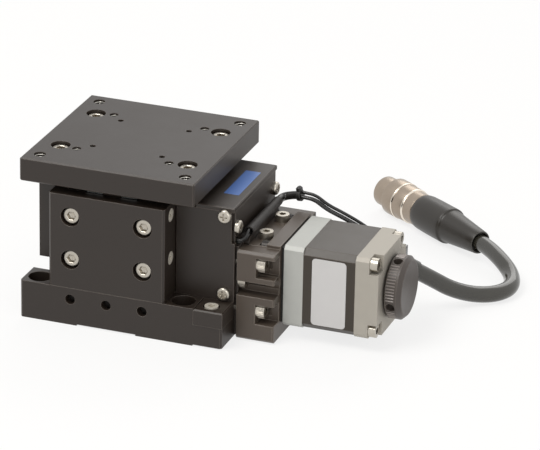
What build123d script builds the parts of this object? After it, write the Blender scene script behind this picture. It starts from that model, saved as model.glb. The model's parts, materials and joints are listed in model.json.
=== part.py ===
"""Motorised wedge-type vertical stage, 60 mm square table, built as separate pieces.

Frame: +Z up, +X along the drive towards the motor, origin on the base's bottom plane
under the middle of the table. Sizes are in millimetres.
"""
from build123d import *
from math import atan, cos, radians, sin, sqrt, tan
import os

# ---------------------------------------------------------------- driving sizes
# Table
table_size = 60.0
table_thick = 8.0
table_top_z = 56.0
table_chamfer = 0.4
tap_m4_edge = 5.0
tap_m3_pitch = 32.0
tap_m2_pitch = 24.0
table_screw_pitch_x = 44.0
table_screw_pitch_y = 30.0
# Base
base_left = 30.0
base_right = 40.0
base_half_width = 30.0
base_height = 13.0
base_relief = 0.45
base_pad_near = 10.3
base_chamfer = 0.6
mount_edge = 5.0
mount_bore_r = 2.25
mount_sink_r = 4.0
mount_sink_depth = 4.4
side_hole_r = 1.7
side_hole_pitch = 12.5
side_screw_depth = 3.0
# Uprights that carry the vertical guides
upright_half = 20.0
upright_depth = 11.0
upright_height = 32.5
upright_chamfer = 0.7
upright_screw_x = 12.5
upright_screw_z = 23.0
upright_screw_pitch = 15.0
gib_screw_z = 26.7
gib_screw_pitch = 15.0
gib_screw_r = 2.2
# Crossed-roller guides: two ground rails with a roller cage between them
rail_width = 5.5
rail_thick = 6.0
rail_gap = 1.0
roller_d = 2.0
roller_length = 1.9
roller_fit = 0.01
roller_pitch = 4.5
cage_thick = 0.4
cage_width = 5.0
rail_relief = 0.6
tongue_half = 3.2
tongue_clear = 0.3
slide_clear = 0.3
# Wedge drive
lead = 1.0
slope = 0.5
slope_rise_z = 31.0
wedge_left = 13.0
wedge_right = 12.5
wedge_half_width = 8.7
drive_z = 18.7
screw_r = 2.5
screw_bore_r = 3.1
screw_left = 12.0
locknut_r = 4.2
locknut_length = 2.0
nut_r = 5.5
nut_length = 12.0
nut_screw_length = 6.0
nut_flange_r = 8.0
nut_flange_thick = 3.0
nut_screw_circle_r = 6.8
running_clear = 0.03
seat_clear = 0.05
# Lift block under the table
lift_left = 28.0
lift_right = 25.5
lift_bottom_z = 17.4
lift_flange_x = 19.0
lift_flange_z = 42.0
lift_rail_left = 19.0
lift_rail_right = 17.5
# Drive-side box
box_half_width = 20.0
cover_thick = 1.3
cover_gap = 0.3
cover_notch = 1.1
cover_notch_z = 33.3
lid_thick = 1.5
lid_left = 27.0
end_plate_thick = 6.0
cover_screw_x = 36.9
cover_screw_rise = 2.6
cover_screw_drop = 2.9
cover_screw_length = 5.0
end_screw_length = 4.0
end_screw_y = 17.3
end_screw_z = 38.3
# Corner block let into the base
corner_left = 30.2
corner_height = 5.5
corner_proud = 0.25
corner_screw_x = 34.9
corner_screw_edge = 4.2
corner_screw_sink = 2.2
# Limit sensors and their flag
board_thick = 1.2
low_sensor_z = 19.0
high_sensor_z = 32.5
sensor_height = 5.0
sensor_reach = 7.0
sensor_slot_depth = 5.0
sensor_slot_half = 1.3
flag_thick = 0.8
flag_depth = 2.6
flag_bottom_z = 26.5
# Bearing flange, motor bracket and coupling
bearing_r = 6.0
bearing_width = 3.0
flange_thick = 1.2
flange_half_width = 18.5
flange_top_z = 32.0
boss_half_width = 14.2
boss_thick = 1.9
boss_corner_r = 2.0
boss_top_z = 33.65
lead_tube_r = 1.6
lead_tube_bore_r = 1.2
lead_tube_x = 42.5
lead_tube_front = 12.5
lead_tube_rear = 14.6
wire_hole_r = 1.3
wire_hole_y = 17.0
wire_hole_z = 33.4
bracket_length = 12.8
bracket_half_width = 20.0
bracket_bottom_z = 0.4
bracket_top_z = 31.4
bracket_chamfer = 0.8
bracket_edge_chamfer = 0.4
motor_plate_thick = 4.6
motor_plate_top_z = 32.6
bracket_wall = 5.3
chamber_floor = 4.0
slot_depth = 5.0
slot_height = 6.8
slot_left = 6.4
slot_spread = 8.1
mid_slot_height = 5.0
coupling_r = 8.0
hub_length = 4.2
hub_recess = 0.3
disc_thick = 2.4
# Motor, 28 mm frame
motor_size = 28.0
motor_flange_length = 6.6
motor_stator_length = 17.6
motor_rear_length = 7.8
motor_corner = 1.2
stator_corner = 2.0
motor_hole_edge = 2.5
motor_pocket_reach = 2.7
motor_spacer_thick = 1.0
motor_spacer_shrink = 0.9
motor_pilot_edge = 3.0
motor_pocket_depth = 3.2
shaft_r = 2.5
rotor_r = 9.0
outlet_proud = 3.0
outlet_half = 7.5
# Handwheel on the motor's rear shaft
knob_r = 10.5
knob_thick = 5.5
knob_gap = 0.6
knob_band_left = 0.5
knob_band_right = 3.5
knob_band_depth = 0.2
knob_chamfer = 1.3
knob_screw_left = 2.2
knob_screw_r = 1.5
knob_screw_angles = (105, 200)
# Cable, sleeve and connector
cable_d = 5.5
lead_d = 1.1
bundle_r = 1.35
sleeve_r = 3.2
sleeve_length = 4.5
connector_r = 6.6
connector_rings = ((4.2, 5.85), (9.1, 6.25))
connector_edge = 0.4
connector_length = 14.4
connector_tip_r = 5.3
connector_tip_length = 6.1
connector_wall = 0.9
connector_recess = 5.5
boot_fat_r = 6.4
boot_fat_length = 18.7
boot_cone_length = 16.5
boot_end_r = 4.1
connector_dir = (-0.8181, 0.575, 0.0)

# ---------------------------------------------------------------- worked-out places
table_bottom_z = table_top_z - table_thick
upright_top_z = base_height + upright_height
upright_inner_y = base_half_width - upright_depth
rail_centre = tongue_half + rail_width + rail_gap / 2
channel_half = tongue_half + 2 * rail_width + rail_gap
base_rail_z = base_height - 1.0 - rail_thick / 2
channel_floor_z = base_rail_z - rail_thick / 2
wedge_bottom_z = base_rail_z + rail_thick / 2
upright_rail_y = upright_inner_y + rail_thick / 2
slope_angle = atan(slope)
slope_half = rail_thick / 2 / cos(slope_angle)
lift_half_width = upright_inner_y - slide_clear
box_top_z = upright_top_z
cover_inner_y = box_half_width - cover_thick
end_plate_left = base_right - end_plate_thick
bracket_left = base_right + flange_thick
bracket_right = bracket_left + bracket_length
plate_left = bracket_right - motor_plate_thick
motor_left = bracket_right + motor_spacer_thick
stator_left = motor_left + motor_flange_length
rear_left = stator_left + motor_stator_length
motor_right = rear_left + motor_rear_length
knob_left = motor_right + knob_gap
hub_left = bracket_left + hub_recess
disc_left = hub_left + hub_length
hub_right = disc_left + disc_thick
tap_m4_pitch = table_size - 2 * tap_m4_edge
mount_pitch_x = 2 * (base_left - mount_edge)
mount_pitch_y = 2 * (base_half_width - mount_edge)
corner_screw_y = base_half_width - corner_screw_edge
motor_hole_pitch = motor_size - 2 * motor_hole_edge
motor_pilot_r = motor_size / 2 - motor_pilot_edge
lead_tube_z = boss_top_z + lead_tube_r
cap_sizes = {3.0: (5.5, 3.0, 2.5), 2.5: (4.5, 2.5, 2.0), 2.0: (3.8, 2.0, 1.5)}

LOW = (Align.CENTER, Align.CENTER, Align.MIN)
HIGH = (Align.CENTER, Align.CENTER, Align.MAX)
nodes = {}


# ---------------------------------------------------------------- helpers
def block(x0, x1, y0, y1, z0, z1):
    """A box between two corners."""
    return Pos((x0 + x1) / 2, (y0 + y1) / 2, (z0 + z1) / 2) * Box(x1 - x0, y1 - y0, z1 - z0)


def stand(shape, point, along=(0, 0, 1)):
    """Put a shape made about +Z at a point, with its +Z along a direction."""
    return Plane(origin=point, z_dir=along).location * shape


def rod(point, along, radius, length):
    """A cylinder that starts at a point and runs along a direction."""
    return stand(Cylinder(radius, length, align=LOW), point, along)


def cap_screw(size, length):
    """Socket head cap screw: the head's seat at Z=0, the shank down, the hex socket on top."""
    head_d, head_h, hex_af = cap_sizes[size]
    head = Cylinder(head_d / 2, head_h, align=LOW)
    shank = Cylinder(size / 2, length, align=HIGH)
    socket = extrude(Pos(0, 0, head_h) * RegularPolygon(hex_af / sqrt(3), 6), -head_h / 2)
    return head + shank - socket


def cap_room(size, length, above):
    """What a cap screw's hole takes away: shank, and counterbore up to a height above the seat."""
    head_d = cap_sizes[size][0]
    shank = Cylinder(size / 2 + seat_clear, length + 0.5, align=HIGH)
    sink = Cylinder(head_d / 2 + 0.5, above, align=LOW)
    return shank + sink


def pan_screw(size, length):
    """Cross-recess pan head screw, seat at Z=0."""
    head = Cylinder(size * 0.9, size * 0.62, align=LOW)
    head = fillet(head.edges().sort_by(Axis.Z)[-1], size * 0.3)
    arm = Pos(0, 0, size * 0.62) * (Box(size, size * 0.22, size * 0.5) + Box(size * 0.22, size, size * 0.5))
    return head - arm + Cylinder(size / 2, length, align=HIGH)


def pan_room(size, length):
    """The plain hole of a pan head screw."""
    return Cylinder(size / 2 + seat_clear, length + 0.5, align=HIGH)


def group(shapes):
    """Separate solids in one node."""
    solids = []
    for shape in shapes:
        solids += shape.solids()
    return Compound(children=solids)


def cut(shape, tools):
    """Take a list of tools from a shape."""
    for tool in tools:
        shape = shape - tool
    return shape


def corners(pitch_x, pitch_y):
    """The four corners of a rectangle."""
    return [(sx * pitch_x / 2, sy * pitch_y / 2) for sx in (-1, 1) for sy in (-1, 1)]


# ---------------------------------------------------------------- crossed-roller guides
def rail(length):
    """A rail along Z with its V-groove towards the roller line, on the +X side of that line."""
    face = rail_gap / 2
    apex = (roller_d / 2 + roller_fit) * sqrt(2)
    depth = apex - face
    half = rail_thick / 2
    outline = Polyline(
        (face + rail_width, -half), (face + rail_width, half), (face, half), (face, depth),
        (apex, 0), (face, -depth), (face, -half), close=True)
    return Pos(0, 0, -length / 2) * extrude(make_face(outline), length, dir=(0, 0, 1))


def guide_plane(point, side, travel):
    """Local Z along the travel, local X away from the tongue."""
    return Plane(origin=point, x_dir=side, z_dir=travel).location


def fixed_rail(point, side, travel, length):
    """The rail on the outer side of the roller line."""
    return guide_plane(point, side, travel) * rail(length)


def moving_rail(point, side, travel, length):
    """The rail on the tongue's side of the roller line."""
    return guide_plane(point, side, travel) * (Rot(0, 0, 180) * rail(length))


def roller_cage(point, side, travel, count):
    """A cage strip with its rollers, crossed by turns."""
    length = count * roller_pitch
    strip = Box(cage_thick, cage_width, length)
    window = roller_d + 0.5
    rollers = []
    for i in range(count):
        z = (i - (count - 1) / 2) * roller_pitch
        lean = 45 if i % 2 else -45
        strip = strip - Pos(0, 0, z) * Box(1.0, roller_d * 1.6, window)
        roller = Rot(0, 0, lean) * (Rot(0, 90, 0) * Cylinder(roller_d / 2, roller_length))
        rollers.append(Pos(0, 0, z) * roller)
    place = guide_plane(point, side, travel)
    return [place * piece for piece in [strip] + rollers]


def slope_z(x):
    """Height of the sloped guides' roller line at rest."""
    return slope_rise_z + slope * x


slope_dir = (cos(slope_angle), 0, sin(slope_angle))

# Horizontal guides of the wedge
base_rail_length = 2 * upright_half - 1.0
wedge_mid_x = (wedge_right - wedge_left) / 2
wedge_rail_length = wedge_left + wedge_right
nodes["base_rails"] = group(
    [fixed_rail((0, s * rail_centre, base_rail_z), (0, s, 0), (1, 0, 0), base_rail_length) for s in (-1, 1)])
nodes["wedge_rails_lower"] = group(
    [moving_rail((wedge_mid_x, s * rail_centre, base_rail_z), (0, s, 0), (1, 0, 0), wedge_rail_length)
     for s in (-1, 1)])
base_cage = []
for s in (-1, 1):
    base_cage += roller_cage((0, s * rail_centre, base_rail_z), (0, s, 0), (1, 0, 0), 5)
nodes["base_roller_cages"] = group(base_cage)

# Sloped guides between wedge and lift block
lift_rail_mid = (lift_rail_right - lift_rail_left) / 2
lift_rail_length = (lift_rail_left + lift_rail_right) / cos(slope_angle)
upper_left = wedge_left - 1.5
upper_right = wedge_right - 1.5
upper_mid = (upper_right - upper_left) / 2
upper_length = (upper_left + upper_right) / cos(slope_angle)
nodes["slope_rails_table"] = group(
    [fixed_rail((lift_rail_mid, s * rail_centre, slope_z(lift_rail_mid)), (0, s, 0), slope_dir,
                lift_rail_length) for s in (-1, 1)])
nodes["slope_rails_wedge"] = group(
    [moving_rail((upper_mid, s * rail_centre, slope_z(upper_mid)), (0, s, 0), slope_dir, upper_length)
     for s in (-1, 1)])
slope_cage = []
for s in (-1, 1):
    slope_cage += roller_cage((0, s * rail_centre, slope_z(0)), (0, s, 0), slope_dir, 5)
nodes["slope_roller_cages"] = group(slope_cage)

# Vertical guides between uprights and lift block
upright_rail_z = upright_screw_z + upright_screw_pitch / 2
upright_rail_length = 2 * (upright_top_z - upright_rail_z)
lift_rail_top_z = table_bottom_z - 2.0
lift_rail_low_z = lift_bottom_z + 0.6
lift_guide_z = (lift_rail_top_z + lift_rail_low_z) / 2
lift_guide_length = lift_rail_top_z - lift_rail_low_z
vertical_fixed, vertical_moving, vertical_cages = [], [], []
for f in (-1, 1):
    for s in (-1, 1):
        side = (s, 0, 0)
        line = (s * rail_centre, f * upright_rail_y)
        vertical_fixed.append(fixed_rail((*line, upright_rail_z), side, (0, 0, 1), upright_rail_length))
        vertical_moving.append(moving_rail((*line, lift_guide_z), side, (0, 0, 1), lift_guide_length))
        vertical_cages += roller_cage((*line, upright_rail_z - 1.0), side, (0, 0, 1), 5)


# ---------------------------------------------------------------- base
def base_block():
    """The base: ears at the left corners, a guide channel, pads and relief below."""
    left = block(-base_left, -upright_half, -base_half_width, base_half_width, 0, base_height)
    body = block(-upright_half, base_right, -base_half_width, base_half_width, 0, base_height) + left
    body = chamfer(body.edges().filter_by(Axis.Z), base_chamfer)
    notch = block(-base_left - 1, -upright_half, -upright_inner_y, upright_inner_y, -1, base_height + 1)
    channel = block(-base_left, upright_half, -channel_half, channel_half, channel_floor_z, base_height + 1)
    relief = block(-base_left, upright_half, -rail_centre, rail_centre, channel_floor_z - rail_relief,
                   base_height)
    wide = base_half_width + 1
    under = [block(-base_pad_near, base_pad_near, -wide, wide, -1, base_relief),
             block(base_left, base_right + 1, -wide, wide, -1, base_relief)]
    corner = block(corner_left - 0.05, base_right + 1, -base_half_width - 1,
                   -box_half_width + 0.05, base_height - corner_height, base_height + 1)
    body = cut(body, [notch, channel, relief, corner] + under)
    for x, y in corners(mount_pitch_x, mount_pitch_y):
        body = body - rod((x, y, -1), (0, 0, 1), mount_bore_r, base_height + 2)
        body = body - rod((x, y, base_height - mount_sink_depth), (0, 0, 1), mount_sink_r, mount_sink_depth + 1)
    for f in (-1, 1):
        for i in (-1, 0, 1):
            start = (i * side_hole_pitch, f * (base_half_width + 1), base_rail_z)
            body = body - rod(start, (0, -f, 0), side_hole_r, base_half_width - channel_half + 2)
    seat = (corner_screw_x, -corner_screw_y, base_height)
    body = body - stand(cap_room(2.5, corner_height + 4.5, 1.0), seat)
    return body - rod((end_plate_left - 0.1, 0, drive_z), (1, 0, 0), bearing_r + seat_clear, end_plate_thick + 1)


nodes["base_block"] = base_block()
side_screw_length = base_half_width - channel_half - side_screw_depth
nodes["base_set_screws"] = group(
    [rod((i * side_hole_pitch, f * (base_half_width - side_screw_depth), base_rail_z), (0, -f, 0),
         side_hole_r - seat_clear, side_screw_length) for i in (-1, 0, 1) for f in (-1, 1)])


def corner_block():
    """Small block let into the base's front corner."""
    body = block(corner_left, base_right + corner_proud, -base_half_width - corner_proud,
                 -box_half_width, base_height - corner_height, base_height)
    body = chamfer(body.edges().group_by(Axis.Z)[-1], 0.4)
    room = cap_room(2.5, corner_height + 4.0, 3.0)
    return body - stand(room, (corner_screw_x, -corner_screw_y, base_height - corner_screw_sink))


nodes["corner_block"] = corner_block()
nodes["corner_screw"] = stand(cap_screw(2.5, 6.0), (corner_screw_x, -corner_screw_y, base_height - corner_screw_sink))


# ---------------------------------------------------------------- uprights
def upright_screw_places():
    """Where the four guide screws enter an upright."""
    heights = (upright_screw_z, upright_screw_z + upright_screw_pitch)
    return [(s * upright_screw_x, z) for s in (-1, 1) for z in heights]


screw_seat = 3.4
upright_screw_length = 5.0


def upright():
    """The front upright: a channel open to the inside, with counterbored screws and gib screws."""
    body = block(-upright_half, upright_half, -base_half_width, -upright_inner_y, base_height, upright_top_z)
    outer = body.edges().filter_by(Axis.Z).group_by(Axis.Y)[0]
    body = chamfer(outer, upright_chamfer)
    wall_y = -upright_rail_y - rail_thick / 2
    channel = block(-channel_half, channel_half, wall_y, 0, base_height - 1, upright_top_z + 1)
    relief = block(-rail_centre, rail_centre, wall_y - rail_relief, 0, base_height - 1, upright_top_z + 1)
    body = cut(body, [channel, relief])
    for x, z in upright_screw_places():
        seat = (x, -base_half_width + screw_seat, z)
        body = body - stand(cap_room(3.0, upright_screw_length, screw_seat + 1), seat, (0, -1, 0))
    for z in (gib_screw_z, gib_screw_z + gib_screw_pitch):
        body = body - rod((channel_half - 1, -upright_rail_y - 2.0, z), (1, 0, 0), gib_screw_r + seat_clear, 8)
    return body


front_upright = upright()
nodes["front_upright"] = front_upright
nodes["rear_upright"] = mirror(front_upright, about=Plane.XZ)
upright_screws = []
rail_holes = []
for f in (-1, 1):
    for x, z in upright_screw_places():
        seat = (x, f * (base_half_width - screw_seat), z)
        upright_screws.append(stand(cap_screw(3.0, upright_screw_length), seat, (0, f, 0)))
        rail_holes.append(stand(cap_room(3.0, upright_screw_length, 1.0), seat, (0, f, 0)))
nodes["upright_screws"] = group(upright_screws)
nodes["lift_rails_fixed"] = group([cut(piece, rail_holes) for piece in vertical_fixed])
nodes["lift_roller_cages"] = group(vertical_cages)


def gib_screw(f, z):
    """Set screw that preloads a vertical guide from the upright's side."""
    length = upright_half - channel_half - 0.1
    body = rod((channel_half, f * (upright_rail_y + 2.0), z), (1, 0, 0), gib_screw_r, length)
    top = (channel_half + length, f * (upright_rail_y + 2.0), z)
    return body - stand(extrude(RegularPolygon(1.5 / sqrt(3), 6), -1.5), top, (1, 0, 0))


nodes["gib_screws"] = group(
    [gib_screw(f, z) for f in (-1, 1) for z in (gib_screw_z, gib_screw_z + gib_screw_pitch)])


# ---------------------------------------------------------------- lift block and table
table_screw_seat = 3.4


def table_plate():
    """The table with its tapped hole patterns and four counterbored screws."""
    half = table_size / 2
    body = block(-half, half, -half, half, table_bottom_z, table_top_z)
    body = chamfer(body.edges(), table_chamfer)
    for pitch, radius in ((tap_m4_pitch, 2.0), (tap_m3_pitch, 1.5), (tap_m2_pitch, 1.0)):
        for x, y in corners(pitch, pitch):
            body = body - rod((x, y, table_bottom_z - 1), (0, 0, 1), radius, table_thick + 2)
    for x, y in corners(table_screw_pitch_x, table_screw_pitch_y):
        seat = (x, y, table_top_z - table_screw_seat)
        body = body - stand(cap_room(3.0, table_thick, table_screw_seat + 1), seat)
    return body


nodes["table_plate"] = table_plate()
table_screw_length = 7.0
nodes["table_screws"] = group(
    [stand(cap_screw(3.0, table_screw_length), (x, y, table_top_z - table_screw_seat))
     for x, y in corners(table_screw_pitch_x, table_screw_pitch_y)])


def prism_xz(points, half_width):
    """A profile in the XZ plane, extruded to both sides of Y=0."""
    wire = Polyline(*[(x, 0, z) for x, z in points], close=True)
    return extrude(make_face(wire), half_width, dir=(0, 1, 0), both=True)


def lift_block():
    """Carries the table: cheeks, a sloped ceiling for the rails, and a guide tongue on each side."""
    top = table_bottom_z
    cheek_right = lift_flange_x + 0.5
    body = prism_xz([(-lift_left, lift_bottom_z), (cheek_right, lift_bottom_z), (cheek_right, lift_flange_z),
                     (lift_right, lift_flange_z), (lift_right, top), (-lift_left, top)], lift_half_width)
    x0, x1 = -lift_left - 1, lift_flange_x
    rise = slope_half
    hollow = prism_xz([(x0, slope_z(x0) + rise), (x1, slope_z(x1) + rise), (cheek_right + 1, slope_z(x1) + rise),
                       (cheek_right + 1, 0), (x0, 0)], channel_half)
    deep = rail_relief / cos(slope_angle)
    relief = prism_xz([(x0, slope_z(x0) + rise + deep), (x1, slope_z(x1) + rise + deep), (x1, 0), (x0, 0)],
                      rail_centre)
    body = cut(body, [hollow, relief])
    for f in (-1, 1):
        near = f * (lift_half_width + channel_half) / 2
        seat = f * upright_inner_y
        far = f * (upright_inner_y + rail_thick - tongue_clear)
        shoulder = tongue_half + rail_width
        body = body + block(-shoulder, shoulder, min(near, seat), max(near, seat), lift_rail_low_z,
                            lift_rail_top_z)
        body = body + block(-tongue_half, tongue_half, min(near, far), max(near, far), lift_rail_low_z,
                            lift_rail_top_z)
    for x, y in corners(table_screw_pitch_x, table_screw_pitch_y):
        seat = (x, y, table_top_z - table_screw_seat)
        body = body - stand(cap_room(3.0, table_screw_length, 1.0), seat)
    return body


nodes["lift_block"] = lift_block()
nodes["lift_rails_moving"] = group(vertical_moving)


# ---------------------------------------------------------------- wedge and ball nut
def nut_screw_places():
    """Screws of the nut's flange, on the free sides above the rails."""
    return [(nut_screw_circle_r * cos(radians(a)), drive_z + nut_screw_circle_r * sin(radians(a)))
            for a in (20, 70, 110, 160)]


def wedge_block():
    """The wedge: level tongue below, sloped tongue above, bored for the screw and the nut."""
    def low(x):
        return slope_z(x) - slope_half
    left, right = -wedge_left, wedge_right
    body = prism_xz([(left, wedge_bottom_z), (right, wedge_bottom_z), (right, low(right)), (left, low(left))],
                    wedge_half_width)
    keel = block(left, right, -tongue_half, tongue_half, channel_floor_z + tongue_clear, wedge_bottom_z)
    rise = (rail_thick - tongue_clear) / cos(slope_angle)
    ridge = prism_xz([(left, low(left) - 1), (right, low(right) - 1), (right, low(right) + rise),
                      (left, low(left) + rise)], tongue_half)
    body = body + keel + ridge
    body = body - rod((left - 1, 0, drive_z), (1, 0, 0), screw_bore_r, wedge_left + wedge_right + 2)
    body = body - rod((right - nut_length, 0, drive_z), (1, 0, 0), nut_r + running_clear, nut_length + 1)
    for y, z in nut_screw_places():
        body = body - rod((right + 1, y, z), (-1, 0, 0), 1.0 + seat_clear, 7.5)
    return body


nodes["wedge_block"] = wedge_block()


def ball_nut():
    """Flanged ball nut, its flange cut flat above the rails."""
    body = rod((wedge_right - nut_length, 0, drive_z), (1, 0, 0), nut_r, nut_length)
    collar = rod((wedge_right, 0, drive_z), (1, 0, 0), nut_flange_r, nut_flange_thick)
    flat = block(wedge_right - 1, wedge_right + nut_flange_thick + 1, -nut_flange_r, nut_flange_r, 0, wedge_bottom_z + 0.6)
    body = body + (collar - flat)
    body = body - rod((wedge_right - nut_length - 1, 0, drive_z), (1, 0, 0), screw_r + running_clear, nut_length + 5)
    for y, z in nut_screw_places():
        body = body - rod((wedge_right - 1, y, z), (1, 0, 0), 1.0 + seat_clear, nut_flange_thick + 2)
    return body


nodes["ball_nut"] = ball_nut()
nodes["nut_screws"] = group(
    [rod((wedge_right - nut_screw_length, y, z), (1, 0, 0), 1.0, nut_screw_length + nut_flange_thick)
     for y, z in nut_screw_places()])

# ---------------------------------------------------------------- screw, coupling, rotor, handwheel
rotor_left = stator_left + 0.5
rotor_right = rear_left - 0.5
ball_screw = rod((-screw_left, 0, drive_z), (1, 0, 0), screw_r, hub_left + hub_length - 0.4 + screw_left)
locknut_left = end_plate_left - locknut_length - 0.1
nodes["ball_screw"] = chamfer(ball_screw.edges().filter_by(GeomType.CIRCLE).sort_by(Axis.X)[0], 0.5)
nodes["screw_locknut"] = (rod((locknut_left, 0, drive_z), (1, 0, 0), locknut_r, locknut_length)
                          - rod((locknut_left - 1, 0, drive_z), (1, 0, 0), screw_r + seat_clear,
                                locknut_length + 2))


def hub(x0, shaft):
    """Coupling hub with two dogs that face the middle disc."""
    body = rod((x0, 0, drive_z), (1, 0, 0), coupling_r, hub_length)
    body = body - rod((x0 - 1, 0, drive_z), (1, 0, 0), shaft + seat_clear, hub_length + 2)
    slit = block(x0 - 1, x0 + hub_length + 1, -0.4, 0.4, drive_z, drive_z + coupling_r + 1)
    return body - slit


nodes["coupling_hubs"] = group([hub(hub_left, screw_r), hub(hub_right, shaft_r)])
disc_tool = rod((disc_left - 1, 0, drive_z), (1, 0, 0), shaft_r + 1.2, disc_thick + 2)
nodes["coupling_disc"] = rod((disc_left, 0, drive_z), (1, 0, 0), coupling_r - 0.4, disc_thick) - disc_tool
shaft_left = hub_right + 0.4
rotor = rod((shaft_left, 0, drive_z), (1, 0, 0), shaft_r, knob_left + knob_thick - 0.6 - shaft_left)
rotor = rotor + rod((rotor_left, 0, drive_z), (1, 0, 0), rotor_r, rotor_right - rotor_left)
nodes["motor_rotor"] = rotor


def knob():
    """Handwheel: a band for the knurl, a smooth chamfered face, bored for the rear shaft."""
    body = rod((knob_left, 0, drive_z), (1, 0, 0), knob_r, knob_thick)
    rims = body.edges().filter_by(GeomType.CIRCLE).sort_by(Axis.X)
    body = chamfer(rims[-1], knob_chamfer)
    body = chamfer(body.edges().filter_by(GeomType.CIRCLE).sort_by(Axis.X)[0], 0.5)
    band_left, band_length = knob_left + knob_band_left, knob_band_right - knob_band_left
    band = rod((band_left, 0, drive_z), (1, 0, 0), knob_r + 1, band_length)
    body = body - (band - rod((band_left - 1, 0, drive_z), (1, 0, 0), knob_r - knob_band_depth, band_length + 2))
    body = body - rod((knob_left - 1, 0, drive_z), (1, 0, 0), shaft_r + seat_clear, knob_thick + 2)
    for angle in knob_screw_angles:
        y, z = cos(radians(angle)), sin(radians(angle))
        start = (knob_left + knob_screw_left, y * shaft_r, drive_z + z * shaft_r)
        body = body - rod(start, (0, y, z), knob_screw_r + seat_clear, knob_r)
    return body


nodes["knob"] = knob()
nodes["knob_set_screws"] = group(
    [rod((knob_left + knob_screw_left, cos(radians(a)) * (shaft_r + 0.1), drive_z + sin(radians(a)) * (shaft_r + 0.1)),
         (0, cos(radians(a)), sin(radians(a))), knob_screw_r, 5.2) for a in knob_screw_angles])

# ---------------------------------------------------------------- drive-side box
bearing_places = [end_plate_left + i * bearing_width for i in (0, 1)]
nodes["screw_bearings"] = group(
    [rod((x, 0, drive_z), (1, 0, 0), bearing_r, bearing_width - 0.05)
     - rod((x - 1, 0, drive_z), (1, 0, 0), screw_r + running_clear, bearing_width + 2) for x in bearing_places])


def m3_bracket_places():
    """The bracket's four long screws."""
    return [(f * (bracket_half_width - 2.9), drive_z + s * slot_spread) for f in (-1, 1) for s in (-1, 1)]


def m25_flange_places():
    """The bearing flange's two screws, reached through the middle slots."""
    return [(f * (flange_half_width - 1.6), drive_z + 1.1) for f in (-1, 1)]


m3_seat = bracket_left + slot_left
m3_length = m3_seat - base_right + 4.0
flange_screw_length = 5.0


def end_plate():
    """End plate of the drive side, bored for the screw's bearings."""
    body = block(end_plate_left, base_right, -cover_inner_y, cover_inner_y, base_height, box_top_z - lid_thick)
    body = body - rod((end_plate_left - 1, 0, drive_z), (1, 0, 0), bearing_r + seat_clear, end_plate_thick + 2)
    for f in (-1, 1):
        body = body - stand(pan_room(2.5, end_screw_length), (base_right, f * end_screw_y, end_screw_z), (1, 0, 0))
        for z in (base_height + cover_screw_rise, box_top_z - cover_screw_drop):
            body = body - stand(pan_room(2.5, 5.5), (cover_screw_x, f * box_half_width, z), (0, f, 0))
    body = body - rod((end_plate_left - 1, -wire_hole_y, wire_hole_z), (1, 0, 0), wire_hole_r, end_plate_thick + 2)
    for y, z in m3_bracket_places():
        if z > base_height + 2:
            body = body - stand(cap_room(3.0, m3_length, 0.1), (m3_seat, y, z), (1, 0, 0))
    for y, z in m25_flange_places():
        body = body - stand(cap_room(2.5, flange_screw_length, 0.1), (bracket_left, y, z), (1, 0, 0))
    return body


nodes["end_plate"] = end_plate()
base_low_screws = [stand(cap_room(3.0, m3_length, 0.1), (m3_seat, y, z), (1, 0, 0))
                   for y, z in m3_bracket_places() if z < base_height]
nodes["base_block"] = cut(nodes["base_block"], base_low_screws)


def side_cover(f):
    """Side cover plate with the step at its upper outer corner."""
    y0, y1 = sorted((f * cover_inner_y, f * box_half_width))
    left = upright_half + cover_gap
    body = block(left, base_right + cover_gap, y0, y1, base_height, box_top_z - lid_thick)
    body = body - block(base_right + cover_gap - cover_notch, base_right + 2, y0 - 1, y1 + 1, cover_notch_z,
                        box_top_z)
    for z in (base_height + cover_screw_rise, box_top_z - cover_screw_drop):
        body = body - stand(pan_room(2.5, 5.5), (cover_screw_x, f * box_half_width, z), (0, f, 0))
    return body


nodes["front_cover"] = side_cover(-1)
nodes["rear_cover"] = side_cover(1)
nodes["top_cover"] = chamfer(
    block(lid_left, base_right, -box_half_width, box_half_width, box_top_z - lid_thick, box_top_z)
    .edges().group_by(Axis.Z)[-1], 0.3)
nodes["cover_screws"] = group(
    [stand(pan_screw(2.5, cover_screw_length), (cover_screw_x, f * box_half_width, z), (0, f, 0))
     for f in (-1, 1) for z in (base_height + cover_screw_rise, box_top_z - cover_screw_drop)])
nodes["end_plate_screws"] = group(
    [stand(pan_screw(2.5, end_screw_length), (base_right, f * end_screw_y, end_screw_z), (1, 0, 0)) for f in (-1, 1)])

# Limit sensing: a board on the front cover, two slotted sensors and a flag on the lift block
board_left = lift_right + 1.0
sensor_y = -cover_inner_y + board_thick
sensor_left = lift_right - 2.0
flag_y = sensor_y + sensor_reach - 3.0
nodes["sensor_board"] = block(board_left, end_plate_left - 0.2, -cover_inner_y, sensor_y, base_height + 1.5,
                              lift_flange_z - 3.0)


def limit_sensor(z):
    """Slotted optical sensor: a U open towards the flag."""
    body = block(sensor_left, end_plate_left - 1.0, sensor_y, sensor_y + sensor_reach, z, z + sensor_height)
    slot = block(sensor_left - 1, sensor_left + sensor_slot_depth, flag_y - sensor_slot_half, flag_y + sensor_slot_half,
                 z - 1, z + sensor_height + 1)
    return body - slot


nodes["limit_sensors"] = group([limit_sensor(low_sensor_z), limit_sensor(high_sensor_z)])
nodes["sensor_flag"] = block(lift_right - flag_depth, lift_right, flag_y - flag_thick / 2, flag_y + flag_thick / 2,
                             flag_bottom_z, lift_flange_z)


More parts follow.
